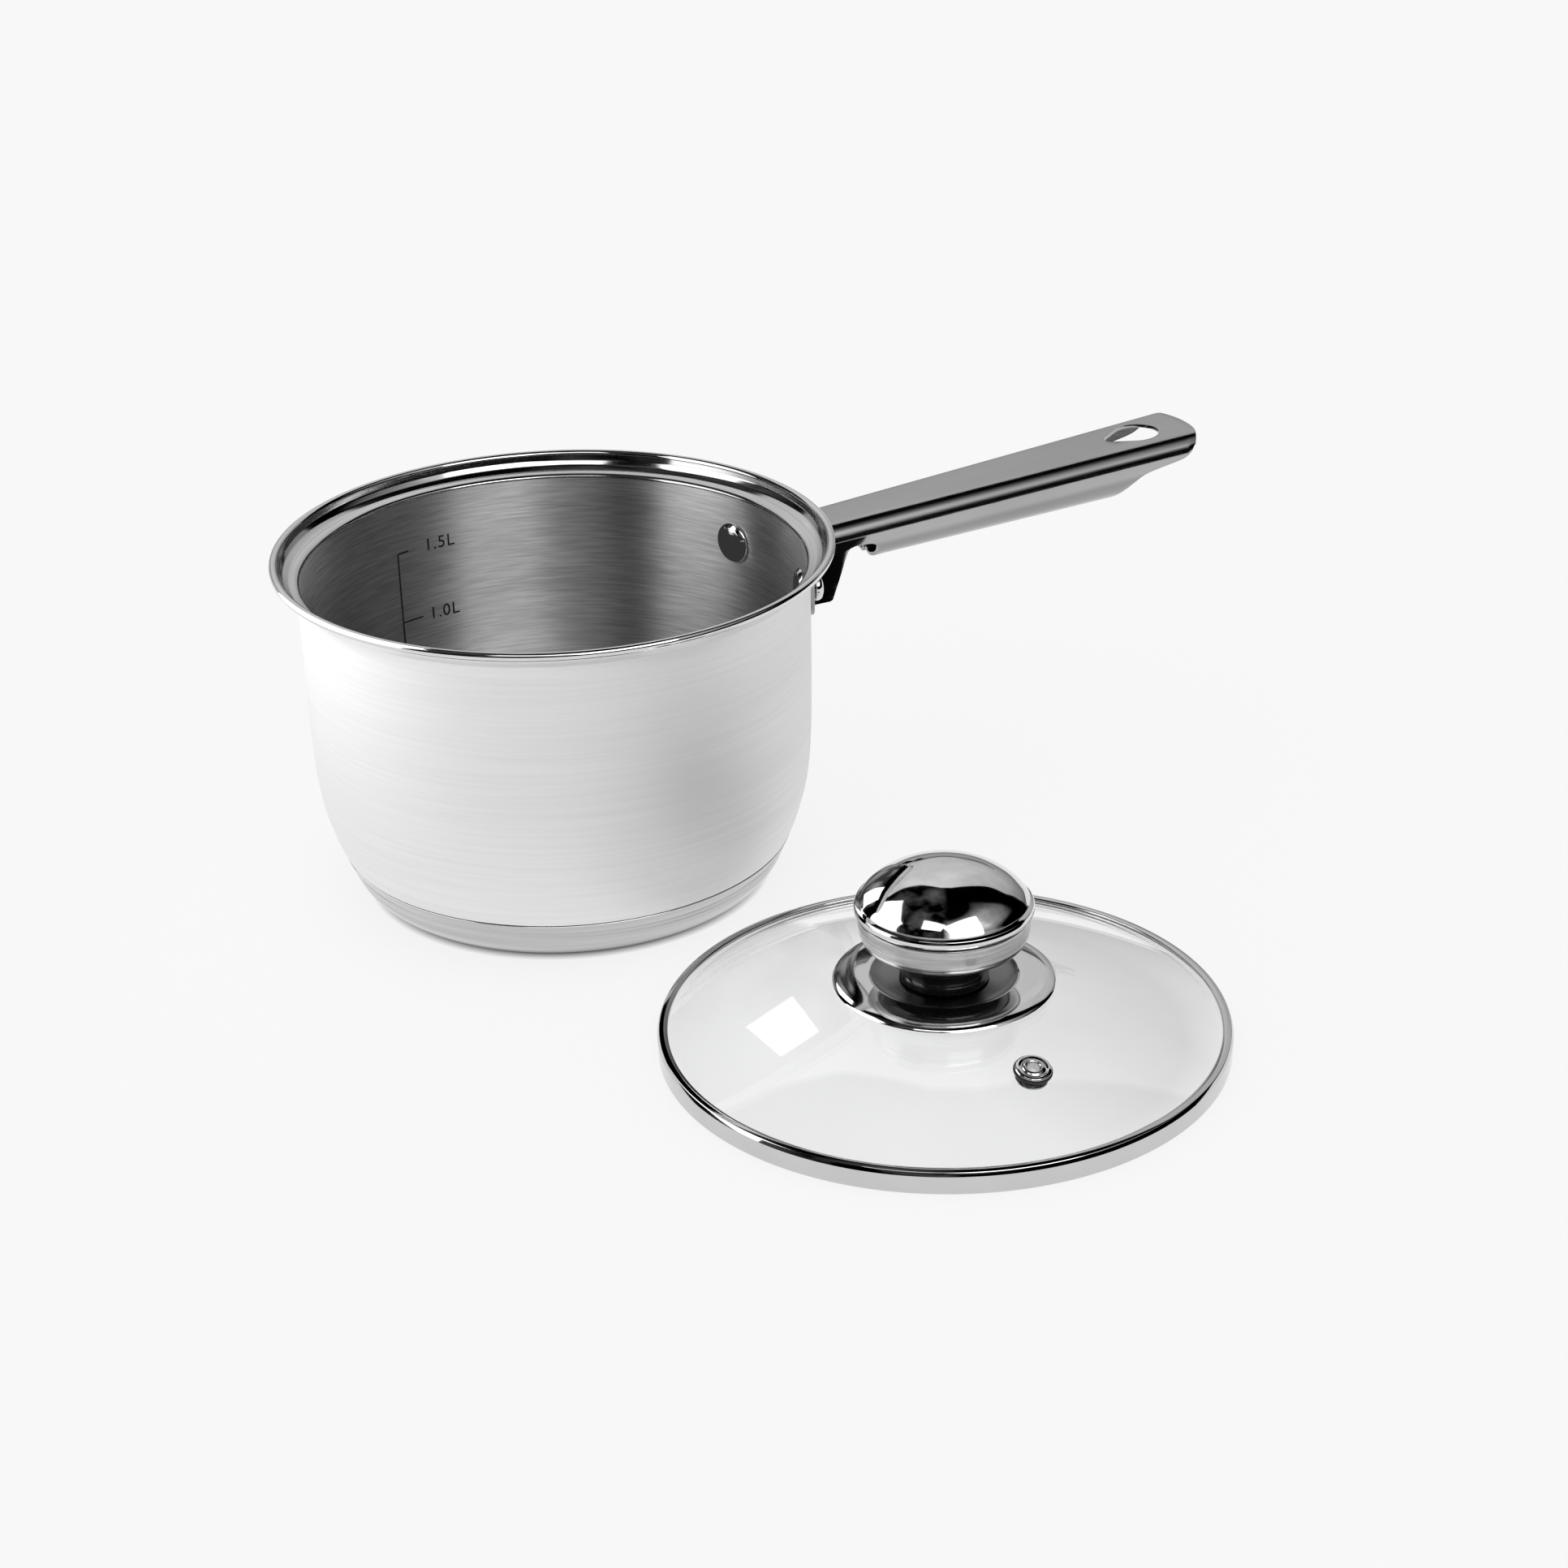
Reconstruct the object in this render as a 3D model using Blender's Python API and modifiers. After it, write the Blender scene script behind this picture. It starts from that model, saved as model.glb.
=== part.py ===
"""Saucepan with a glass lid, standing on its base with the lid lying beside it.

Origin: centre of the base's underside. +Z up, the handle runs along +X.
"""

import math

import bpy
import numpy as np

MM = 0.001
OBJECT = "saucepan_with_glass_lid"

# Pan
STEPS = 64
INNER_R = 80.0
WALL = 0.9
FLOOR_Z = 8.3
CORNER_Z = 105.6
BEAD_R = 87.64
BEAD_Z = 111.64
BEAD_TUBE = 1.36
GAP = 0.3

# Encapsulated base
CAP_TOP_Z = 15.2
CAP_SHEET = 0.8
CONTACT_R = 61.0

# Handle, measured outward from the pan's axis
HANDLE_START = 82.6
HANDLE_END = 239.5
HANDLE_TOP_Z = 101.95
HANDLE_RISE = 0.05
HANDLE_W_PAN = 23.6
HANDLE_W_END = 33.0
HANDLE_DEPTH_PAN = 16.4
HANDLE_DEPTH_END = 20.2
HANDLE_CORNER = 5.0
HANDLE_SHEET = 1.2
HANDLE_ROLL = 1.9
PLATE_BOTTOM_Z = 77.6
EAR_T = 29.7
EAR_LOW_Z = 80.8
EAR_HIGH_Z = 96.4
HOLE_S = 220.3
HOLE_R = 7.9
HOLE_TIP_S = 210.8
HOLE_TIP_R = 3.0

# Rivets
RIVET_DEG = 17.9
RIVET_Z = 89.9
RIVET_SHANK_R = 2.5
RIVET_HEAD_R = 5.7
RIVET_TAIL_R = 4.3

# Lid
LID_X = 46.6
LID_Y = -161.3
LID_R = 84.7
DOME_APEX_Z = 22.4
DOME_R = 213.0
GLASS = 3.4
SEAT_R = 27.0
SEAT_Z = 20.3
VENT_R = 52.0
VENT_DEG = -92.4


def clear_scene():
    for obj in list(bpy.data.objects):
        bpy.data.objects.remove(obj)


def collection(name):
    made = bpy.data.collections.new(name)
    bpy.context.scene.collection.children.link(made)
    return made


def material(name, colour, roughness, metallic):
    made = bpy.data.materials.new(name)
    made.use_nodes = True
    shader = made.node_tree.nodes["Principled BSDF"]
    shader.inputs["Base Color"].default_value = (*colour, 1.0)
    shader.inputs["Roughness"].default_value = roughness
    shader.inputs["Metallic"].default_value = metallic
    made.diffuse_color = (*colour, 1.0)
    return made


def place(obj, where, mat):
    where.objects.link(obj)
    if mat is not None:
        obj.data.materials.append(mat)
    return obj


def turned(name, profile, where, mat, steps=STEPS, ring=False, at=(0.0, 0.0, 0.0)):
    """A profile of (radius, z) in mm, down its outer side, turned about Z."""
    points = [(r * MM, 0.0, z * MM) for r, z in profile]
    edges = [(i, i + 1) for i in range(len(points) - 1)]
    if ring:
        edges.append((len(points) - 1, 0))
    mesh = bpy.data.meshes.new(name)
    mesh.from_pydata(points, edges, [])
    obj = place(bpy.data.objects.new(name, mesh), where, mat)
    obj.location = [v * MM for v in at]
    screw = obj.modifiers.new("turn", "SCREW")
    screw.angle = math.tau
    screw.steps = steps
    screw.render_steps = steps
    screw.use_merge_vertices = True
    screw.merge_threshold = 0.00002
    screw.use_smooth_shade = True
    return obj


def arc(cx, cz, radius, start, end, count):
    """Points of an arc in mm, angles in degrees anticlockwise from +X."""
    return [
        (
            cx + radius * math.cos(math.radians(a)),
            cz + radius * math.sin(math.radians(a)),
        )
        for a in np.linspace(start, end, count)
    ]


def prism(name, outline, low, high, where, mat=None):
    """A closed outline of (x, y) in mm, made solid from low to high along Z."""
    turns = zip(outline, outline[1:] + outline[:1])
    if sum(a[0] * b[1] - b[0] * a[1] for a, b in turns) < 0:
        outline = outline[::-1]
    count = len(outline)
    points = [(x * MM, y * MM, low * MM) for x, y in outline]
    points += [(x * MM, y * MM, high * MM) for x, y in outline]
    faces = [tuple(reversed(range(count))), tuple(range(count, 2 * count))]
    for i in range(count):
        j = (i + 1) % count
        faces.append((i, j, count + j, count + i))
    mesh = bpy.data.meshes.new(name)
    mesh.from_pydata(points, [], faces)
    return place(bpy.data.objects.new(name, mesh), where, mat)


def hide(obj):
    obj.hide_render = True
    obj.display_type = "WIRE"
    return obj


def boolean(obj, other, operation="DIFFERENCE"):
    made = obj.modifiers.new("cut", "BOOLEAN")
    made.operation = operation
    made.solver = "EXACT"
    made.object = other
    return made


def smooth_path(points, per=5):
    """A Catmull-Rom curve through the points."""
    points = [points[0], *points, points[-1]]
    out = []
    for a, b, c, d in zip(points, points[1:], points[2:], points[3:]):
        for t in np.arange(per) / per:
            out.append(
                tuple(
                    0.5
                    * (
                        2 * b[k]
                        + (c[k] - a[k]) * t
                        + (2 * a[k] - 5 * b[k] + 4 * c[k] - d[k]) * t * t
                        + (3 * b[k] - a[k] - 3 * c[k] + d[k]) * t**3
                    )
                    for k in (0, 1)
                )
            )
    out.append(tuple(points[-1]))
    return out


def belly_out():
    """The pan's outside in mm, from the wall down to the cap's joint."""
    return [
        (80.9, 104.8),
        (80.7, 72.0),
        (80.2, 49.0),
        (78.9, 34.0),
        (76.5, 24.0),
        (74.9, 19.2),
        (73.45, CAP_TOP_Z + GAP),
    ]


def pan_body(where, mat, cutters):
    inside = [
        (0.0, FLOOR_Z),
        (58.0, FLOOR_Z),
        (65.4, 10.2),
        (71.2, 15.6),
        (75.2, 23.0),
        (77.9, 33.0),
        (79.3, 48.0),
        (79.8, 72.0),
        (INNER_R, CORNER_Z),
        (80.3, 106.4),
        (81.4, 106.9),
        (83.2, 107.4),
        (84.8, 108.4),
        (85.9, 109.9),
    ]
    bead = arc(BEAD_R, BEAD_Z, BEAD_TUBE, 180, -120, 9)
    under = [
        (86.4, 109.0),
        (84.6, 107.0),
        (81.7, 105.7),
    ]
    bottom = [
        (72.25, CAP_TOP_Z + GAP),
        (72.05, 15.0),
        (69.6, 12.1),
        (65.4, 9.2),
        (58.0, 7.4),
        (0.0, 7.4),
    ]
    obj = turned("pan_body", inside + bead + under + belly_out() + bottom, where, mat)
    for side in (1, -1):
        boolean(obj, rivet_hole("wall", side, cutters))
    return obj


def aim_outward(obj, radius, degrees, z):
    """Puts an object turned about Z with its +Z pointing away from the pan's axis."""
    a = math.radians(degrees)
    obj.location = (radius * MM * math.cos(a), radius * MM * math.sin(a), z * MM)
    obj.rotation_euler = (0.0, math.pi / 2, a)


def rivet_hole(name, side, cutters):
    radius = RIVET_SHANK_R + GAP
    profile = [(0.0, 6.0), (radius, 6.0), (radius, -6.0), (0.0, -6.0)]
    name = f"{name}_hole_{'left' if side > 0 else 'right'}"
    hole = turned(name, profile, cutters, None, steps=20)
    aim_outward(hole, 80.5, side * RIVET_DEG, RIVET_Z)
    return hide(hole)


def base_core(where, mat):
    profile = [
        (0.0, 7.1),
        (58.0, 7.0),
        (65.0, 7.6),
        (66.8, 6.6),
        (65.4, 4.0),
        (60.2, 1.1),
        (0.0, 1.1),
    ]
    return turned("base_core", profile, where, mat)


def base_cap(where, mat):
    profile = [
        (0.0, CAP_SHEET),
        (60.6, CAP_SHEET),
        (65.2, 3.0),
        (69.4, 8.0),
        (71.0, 11.8),
        (72.5, CAP_TOP_Z),
        (73.3, CAP_TOP_Z),
        (71.85, 11.9),
        (70.3, 8.0),
        (68.9, 5.7),
        (66.9, 3.3),
        (64.0, 1.2),
        (CONTACT_R, 0.0),
        (0.0, 0.0),
    ]
    return turned("base_cap", profile, where, mat)


def handle_top(s):
    return HANDLE_TOP_Z + HANDLE_RISE * (s - 80.0)


def handle_half(s):
    """Half of the handle's cross-section at s, from the top's centre down: (t, drop)."""
    part = (s - 80.0) / 160.0
    half = 0.5 * (HANDLE_W_PAN + (HANDLE_W_END - HANDLE_W_PAN) * part)
    depth = HANDLE_DEPTH_PAN + (HANDLE_DEPTH_END - HANDLE_DEPTH_PAN) * part
    corner = HANDLE_CORNER
    points = [(0.0, 0.0), (0.5 * (half - corner), 0.0)]
    for a in np.linspace(0.0, 90.0, 7):
        a = math.radians(a)
        points.append((half - corner + corner * math.sin(a), corner * (math.cos(a) - 1)))
    curl = []
    last = math.acos((HANDLE_ROLL + 0.5) / half)
    for a in np.linspace(0.0, last, 10)[1:]:
        curl.append((half * math.cos(a), -corner - (depth - corner) * math.sin(a)))
    low = curl[-1][1] + HANDLE_ROLL
    for a in (-120.0, -150.0, 180.0, 145.0):
        a = math.radians(a)
        curl.append(
            (HANDLE_ROLL + 0.5 + HANDLE_ROLL * math.cos(a), low + HANDLE_ROLL * math.sin(a))
        )
    plate_drop = handle_top(s) - PLATE_BOTTOM_Z
    plate = []
    for a in np.linspace(0.0, 1.0, len(curl) + 1)[1:]:
        plate.append((half, -corner - (plate_drop - corner) * a))
    blend = min(1.0, max(0.0, (s - 101.0) / 6.0))
    for one, two in zip(plate, curl):
        points.append(
            (
                one[0] + (two[0] - one[0]) * blend,
                one[1] + (two[1] - one[1]) * blend,
            )
        )
    return points


def handle_sheet(name, where, mat):
    """The folded sheet before its outline is cut: a loft between unlike sections."""
    stations = [HANDLE_START, 91.0, 98.0, 101.0, 104.0, 107.0, 112.0, 155.0, 198.0]
    stations += [HANDLE_END + 2.0]
    rows = []
    points = []
    for s in stations:
        half = handle_half(s)
        section = [(-t, d) for t, d in reversed(half[1:])] + half
        row = []
        for t, drop in section:
            row.append(len(points))
            points.append((s * MM, t * MM, (handle_top(s) + drop) * MM))
        rows.append(row)
    faces = []
    for one, two in zip(rows, rows[1:]):
        for i in range(len(one) - 1):
            faces.append((one[i], two[i], two[i + 1], one[i + 1]))
    mesh = bpy.data.meshes.new(name)
    mesh.from_pydata(points, [], faces)
    for polygon in mesh.polygons:
        polygon.use_smooth = True
    obj = place(bpy.data.objects.new(name, mesh), where, mat)
    shell = obj.modifiers.new("sheet", "SOLIDIFY")
    shell.thickness = HANDLE_SHEET * MM
    shell.offset = -1.0
    shell.use_even_offset = True
    return obj


def ear(side, cutters):
    """The flap along the pan's wall that a rivet holds, rooted in the side plate."""
    name = f"ear_{'left' if side > 0 else 'right'}"
    inner = 81.4
    outer = inner + 1.4
    root = 0.5 * HANDLE_W_PAN
    start = math.degrees(math.asin((root + 2.0) / inner))
    end = math.degrees(math.asin(EAR_T / inner))
    outline = arc(0.0, 0.0, inner, end, start, 8)
    outline += [(80.9, root - 0.95), (88.0, root - 0.72), (88.0, root + 0.05)]
    outline += [(84.2, root - 0.05), (83.0, root + 0.5)]
    outline += arc(0.0, 0.0, outer, start + 0.4, end, 8)
    outline = [(x, side * t) for x, t in outline]
    flap = hide(prism(name, outline, EAR_LOW_Z, EAR_HIGH_Z, cutters))
    corner = 5.0
    shape = [(root + 4.0, 70.0), (root + 4.0, EAR_LOW_Z)]
    shape += arc(EAR_T - corner, EAR_LOW_Z + corner, corner, -90.0, 0.0, 6)
    shape += arc(EAR_T - corner, EAR_HIGH_Z - corner, corner, 0.0, 90.0, 6)
    shape += [(root + 4.0, EAR_HIGH_Z), (root + 4.0, 110.0), (60.0, 110.0), (60.0, 70.0)]
    shape = [(side * t, z) for t, z in shape]
    trim = hide(prism(name + "_corners", shape, 60.0, 95.0, cutters))
    trim.rotation_euler = (math.pi / 2, 0.0, math.pi / 2)
    boolean(flap, trim)
    return flap


def side_cutter(name, outline, cutters):
    """A closed outline of (s, z) in mm, cut through the handle from side to side."""
    obj = hide(prism(name, outline, -40.0, 40.0, cutters))
    obj.rotation_euler = (math.pi / 2, 0.0, 0.0)
    return obj


def handle(where, mat, cutters):
    obj = handle_sheet("handle", where, mat)
    for side in (1, -1):
        boolean(obj, ear(side, cutters), "UNION")
        boolean(obj, rivet_hole("ear", side, cutters))
    top = handle_top(100.0)
    notch = smooth_path(
        [
            (93.6, PLATE_BOTTOM_Z + 0.5),
            (96.6, top - 17.0),
            (99.3, top - 9.6),
            (101.4, top - 8.0),
            (105.0, top - 7.9),
            (109.0, top - 8.3),
            (111.2, top - 10.2),
            (112.6, top - 14.0),
            (113.6, top - 19.0),
        ],
        4,
    )
    notch = notch + [(114.0, 70.0), (91.6, 70.0), (91.6, PLATE_BOTTOM_Z - 0.6)]
    boolean(obj, side_cutter("notch_cutter", notch, cutters))
    end = handle_top(220.0)
    sweep = smooth_path(
        [
            (201.5, end - 22.6),
            (204.2, end - 19.6),
            (207.0, end - 16.0),
            (210.0, end - 12.4),
            (214.0, end - 9.6),
            (220.0, end - 8.1),
            (227.0, end - 6.9),
            (230.2, end - 6.0),
            (232.4, end - 4.6),
            (234.2, end - 2.6),
            (236.4, end - 1.5),
            (243.0, end - 0.9),
        ],
        4,
    )
    sweep = sweep + [(246.0, end - 0.9), (246.0, 70.0), (201.5, 70.0)]
    boolean(obj, side_cutter("sweep_cutter", sweep, cutters))
    tip = smooth_path(
        [
            (228.0, -18.2),
            (233.4, -16.4),
            (236.6, -12.6),
            (238.7, -7.2),
            (HANDLE_END, 0.0),
            (238.7, 7.2),
            (236.6, 12.6),
            (233.4, 16.4),
            (228.0, 18.2),
        ],
        4,
    )
    tip = tip + [(228.0, 24.0), (250.0, 24.0), (250.0, -24.0), (228.0, -24.0)]
    tip.reverse()
    boolean(obj, hide(prism("tip_cutter", tip, 60.0, 130.0, cutters)))
    lean = math.degrees(math.asin((HOLE_R - HOLE_TIP_R) / (HOLE_S - HOLE_TIP_S)))
    hole = arc(HOLE_S, 0.0, HOLE_R, -90 - lean, 90 + lean, 17)
    hole += arc(HOLE_TIP_S, 0.0, HOLE_TIP_R, 90 + lean, 270 - lean, 7)
    boolean(obj, hide(prism("hole_cutter", hole, 99.0, 130.0, cutters)))
    return obj


def rivet(side, where, mat):
    profile = [
        (0.0, 5.7),
        (2.9, 5.6),
        (3.9, 5.1),
        (RIVET_TAIL_R, 4.2),
        (RIVET_TAIL_R, 2.75),
        (RIVET_SHANK_R, 2.75),
        (RIVET_SHANK_R, -1.05),
        (RIVET_HEAD_R, -1.05),
        (5.4, -2.0),
        (3.6, -2.9),
        (0.0, -3.2),
    ]
    name = f"handle_rivet_{'left' if side > 0 else 'right'}"
    obj = turned(name, profile, where, mat, steps=28)
    aim_outward(obj, 80.5, side * RIVET_DEG, RIVET_Z)
    return obj


def dome_z(r, apex=DOME_APEX_Z, radius=DOME_R):
    return apex - radius + math.sqrt(radius * radius - r * r)


def lid_glass(where, mat, cutters):
    hole = 4.2
    outside = [(hole, SEAT_Z), (SEAT_R, SEAT_Z)]
    outside += [(r, dome_z(r)) for r in (36.0, 52.0, 68.0, 81.5)]
    low = DOME_APEX_Z - GLASS
    inside = [
        (r, dome_z(r, low, DOME_R - GLASS)) for r in (78.6, 58.0, 36.0)
    ]
    inside += [(SEAT_R - 0.6, SEAT_Z - GLASS), (hole, SEAT_Z - GLASS)]
    edge = [(83.6, 5.2), (83.6, 3.1), (83.1, 2.75), (80.6, 2.75)]
    obj = turned(
        "lid_glass", outside + edge + inside, where, mat, ring=True, at=(LID_X, LID_Y, 0.0)
    )
    drill = turned(
        "vent_drill",
        [(0.0, 14.0), (3.3, 14.0), (3.3, -14.0), (0.0, -14.0)],
        cutters,
        None,
        steps=20,
    )
    on_dome(drill)
    boolean(obj, hide(drill))
    return obj


def on_dome(obj):
    """Puts an object turned about Z at the vent, square to the glass, z = 0 on its top."""
    a = math.radians(VENT_DEG)
    lean = math.asin(VENT_R / DOME_R)
    obj.location = (
        (LID_X + VENT_R * math.cos(a)) * MM,
        (LID_Y + VENT_R * math.sin(a)) * MM,
        dome_z(VENT_R) * MM,
    )
    obj.rotation_euler = (0.0, lean, a)


def lid_rim_band(where, mat):
    profile = [
        (81.4, 6.35),
        (81.7, 7.0),
        (82.8, 7.2),
        (84.1, 6.8),
        (LID_R, 5.6),
        (LID_R, 0.4),
        (84.35, 0.0),
        (84.0, 0.4),
        (84.0, 1.7),
        (81.8, 1.7),
        (81.8, 2.35),
        (84.0, 2.4),
        (84.0, 5.6),
        (82.8, 6.45),
    ]
    return turned("lid_rim_band", profile, where, mat, ring=True, at=(LID_X, LID_Y, 0.0))


def vent_parts(where, metal, rubber):
    low = -GLASS
    eyelet = [
        (1.95, 1.9),
        (2.5, 2.0),
        (4.4, 1.7),
        (5.3, 1.4),
        (5.3, 1.0),
        (2.9, 1.0),
        (2.9, low - 0.4),
        (4.7, low - 0.6),
        (4.7, low - 1.1),
        (1.95, low - 1.2),
    ]
    obj = turned("vent_eyelet", eyelet, where, metal, steps=28, ring=True)
    on_dome(obj)
    gasket = [(3.3, 0.7), (5.6, 0.7), (5.6, 0.3), (3.3, 0.3)]
    obj = turned("vent_gasket", gasket, where, rubber, steps=28, ring=True)
    on_dome(obj)


def knob(where, mats):
    at = (LID_X, LID_Y, 0.0)
    steps = 40
    flange = [
        (4.0, 21.4),
        (18.4, 21.5),
        (20.3, 22.3),
        (21.6, 22.9),
        (25.0, 22.9),
        (29.4, 22.1),
        (32.3, 21.3),
        (32.8, 20.9),
        (32.4, 20.55),
        (29.0, 21.3),
        (24.8, 22.1),
        (22.0, 22.1),
        (19.2, 20.8),
        (4.0, 20.7),
    ]
    turned("knob_flange", flange, where, mats["polished"], steps, True, at)
    gasket = [(22.2, 21.7), (25.6, 21.6), (25.6, 20.6), (22.2, 20.6)]
    turned("flange_gasket", gasket, where, mats["rubber"], steps, True, at)
    neck = [
        (3.2, 32.6),
        (14.2, 32.6),
        (13.4, 30.6),
        (11.6, 27.6),
        (12.0, 24.6),
        (14.6, 21.8),
        (3.2, 21.8),
    ]
    turned("knob_neck", neck, where, mats["black"], 32, True, at)
    cup = [
        (3.2, 33.8),
        (20.6, 33.8),
        (23.4, 35.6),
        (24.4, 43.1),
        (25.3, 43.1),
        (24.9, 36.8),
        (23.9, 34.4),
        (21.4, 33.0),
        (3.2, 32.9),
    ]
    turned("knob_cup", cup, where, mats["brushed"], steps, True, at)
    cap = [
        (0.0, 57.9),
        (7.0, 57.4),
        (13.5, 55.7),
        (19.0, 52.9),
        (22.9, 49.5),
        (25.0, 46.5),
        (26.2, 45.2),
        (26.2, 44.0),
        (25.4, 43.4),
        (24.2, 43.4),
        (22.6, 47.2),
        (19.4, 50.6),
        (14.0, 53.8),
        (0.0, 56.2),
    ]
    turned("knob_cap", cap, where, mats["polished"], steps, False, at)
    insert = [
        (2.3, 40.0),
        (4.6, 40.0),
        (4.6, 34.1),
        (2.3, 34.1),
    ]
    turned("knob_insert", insert, where, mats["brass"], 24, True, at)
    screw = [
        (0.0, 39.0),
        (1.6, 39.0),
        (2.0, 38.5),
        (2.0, 14.2),
        (4.3, 14.2),
        (4.3, 13.2),
        (3.3, 12.4),
        (0.0, 12.2),
    ]
    turned("knob_screw", screw, where, mats["brushed"], 24, False, at)
    washer = [(2.4, 15.3), (7.2, 15.3), (7.2, 14.5), (2.4, 14.5)]
    turned("screw_washer", washer, where, mats["brushed"], 32, True, at)
    seal = [
        (2.4, 20.0),
        (3.8, 20.0),
        (3.8, 16.6),
        (8.4, 16.6),
        (8.4, 15.6),
        (2.4, 15.6),
    ]
    turned("screw_gasket", seal, where, mats["rubber"], 32, True, at)


def main():
    clear_scene()
    parts = collection(OBJECT)
    cutters = collection("cutters")
    cutters.hide_render = True
    brushed = material("brushed_stainless", (0.62, 0.62, 0.62), 0.3, 1.0)
    polished = material("polished_stainless", (0.68, 0.68, 0.68), 0.08, 1.0)
    aluminium = material("aluminium", (0.75, 0.75, 0.76), 0.4, 1.0)
    glass = material("clear_glass", (0.86, 0.89, 0.88), 0.02, 0.0)
    rubber = material("black_silicone", (0.02, 0.02, 0.02), 0.6, 0.0)
    black = material("black_plastic", (0.015, 0.015, 0.016), 0.25, 0.0)
    brass = material("brass", (0.62, 0.45, 0.2), 0.35, 1.0)
    mats = {
        "polished": polished,
        "brushed": brushed,
        "rubber": rubber,
        "black": black,
        "brass": brass,
    }
    pan_body(parts, brushed, cutters)
    base_core(parts, aluminium)
    base_cap(parts, brushed)
    handle(parts, polished, cutters)
    for side in (1, -1):
        rivet(side, parts, polished)
    lid_glass(parts, glass, cutters)
    lid_rim_band(parts, polished)
    vent_parts(parts, polished, rubber)
    knob(parts, mats)


main()
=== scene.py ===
"""The looks of a saucepan with a glass lid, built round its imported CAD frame."""

import math

import bpy
import numpy as np
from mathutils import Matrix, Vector

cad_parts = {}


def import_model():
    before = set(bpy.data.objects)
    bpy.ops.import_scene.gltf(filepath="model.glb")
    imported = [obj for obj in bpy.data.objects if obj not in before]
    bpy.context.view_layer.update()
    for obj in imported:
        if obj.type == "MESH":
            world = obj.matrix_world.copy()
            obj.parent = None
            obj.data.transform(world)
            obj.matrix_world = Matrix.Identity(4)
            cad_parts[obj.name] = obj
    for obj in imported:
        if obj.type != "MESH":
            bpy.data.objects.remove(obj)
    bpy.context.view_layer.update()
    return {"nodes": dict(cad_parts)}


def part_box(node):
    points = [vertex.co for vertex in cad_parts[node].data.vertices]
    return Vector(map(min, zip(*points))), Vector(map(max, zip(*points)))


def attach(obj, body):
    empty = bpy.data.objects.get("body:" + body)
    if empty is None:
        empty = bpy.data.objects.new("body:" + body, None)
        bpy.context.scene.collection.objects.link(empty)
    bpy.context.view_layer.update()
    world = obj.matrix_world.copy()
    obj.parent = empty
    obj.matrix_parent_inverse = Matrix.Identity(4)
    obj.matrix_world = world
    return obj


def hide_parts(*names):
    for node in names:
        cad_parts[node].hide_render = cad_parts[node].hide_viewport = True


MM = 0.001

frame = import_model()


# ---------------------------------------------------------------- places from the frame

def middle(node):
    low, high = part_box(node)
    return (low + high) / 2


def half_width(node):
    low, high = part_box(node)
    return (high.x - low.x) / 2


PAN_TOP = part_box("pan_body")[1].z / MM
LID_AT = Vector((middle("lid_rim_band").x, middle("lid_rim_band").y, 0.0))
LID_R = half_width("lid_rim_band") / MM
HANDLE_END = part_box("handle")[1].x / MM

# Pan, in mm
INNER_R = 80.0
CORNER_Z = 105.6
BEAD_TUBE = 1.36
BEAD_R = half_width("pan_body") / MM - BEAD_TUBE
BEAD_Z = PAN_TOP - BEAD_TUBE
CAP_TOP_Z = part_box("base_cap")[1].z / MM

# Lid, in mm
DOME_APEX_Z = 22.4
DOME_R = 213.0
GLASS = 3.4
SEAT_R = 27.0
SEAT_Z = 20.3
VENT = middle("vent_eyelet") - LID_AT
VENT_R = math.hypot(VENT.x, VENT.y) / MM

# Handle, in mm: s runs outward from the pan's axis, and the widths, depths and height
# named PAN and TOP hold at ROOT and those named END at ROOT + RUN
HANDLE_ROOT = 80.0
HANDLE_RUN = 160.0
HANDLE_START = 82.6
HANDLE_TOP_Z = 101.95
HANDLE_RISE = 0.05
HANDLE_W_PAN = 23.6
HANDLE_W_END = 33.0
HANDLE_DEPTH_PAN = 16.4
HANDLE_DEPTH_END = 20.2
HANDLE_CORNER = 6.5
HANDLE_SHEET = 1.2
HANDLE_ROLL = 1.9
PLATE_BOTTOM_Z = 77.6
EAR_R = 81.4
EAR_SHEET = 1.4
EAR_CORNER = 5.0
EAR_T = 29.7
EAR_LOW_Z = 80.8
EAR_HIGH_Z = 96.4
HOLE_S = 220.3
HOLE_R = 7.9
HOLE_TIP_S = 210.8
HOLE_TIP_R = 3.0
WALL_R = 80.5


# ---------------------------------------------------------------- materials

def node(tree, kind, **values):
    made = tree.nodes.new(kind)
    for name, value in values.items():
        setattr(made, name, value)
    return made


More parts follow.
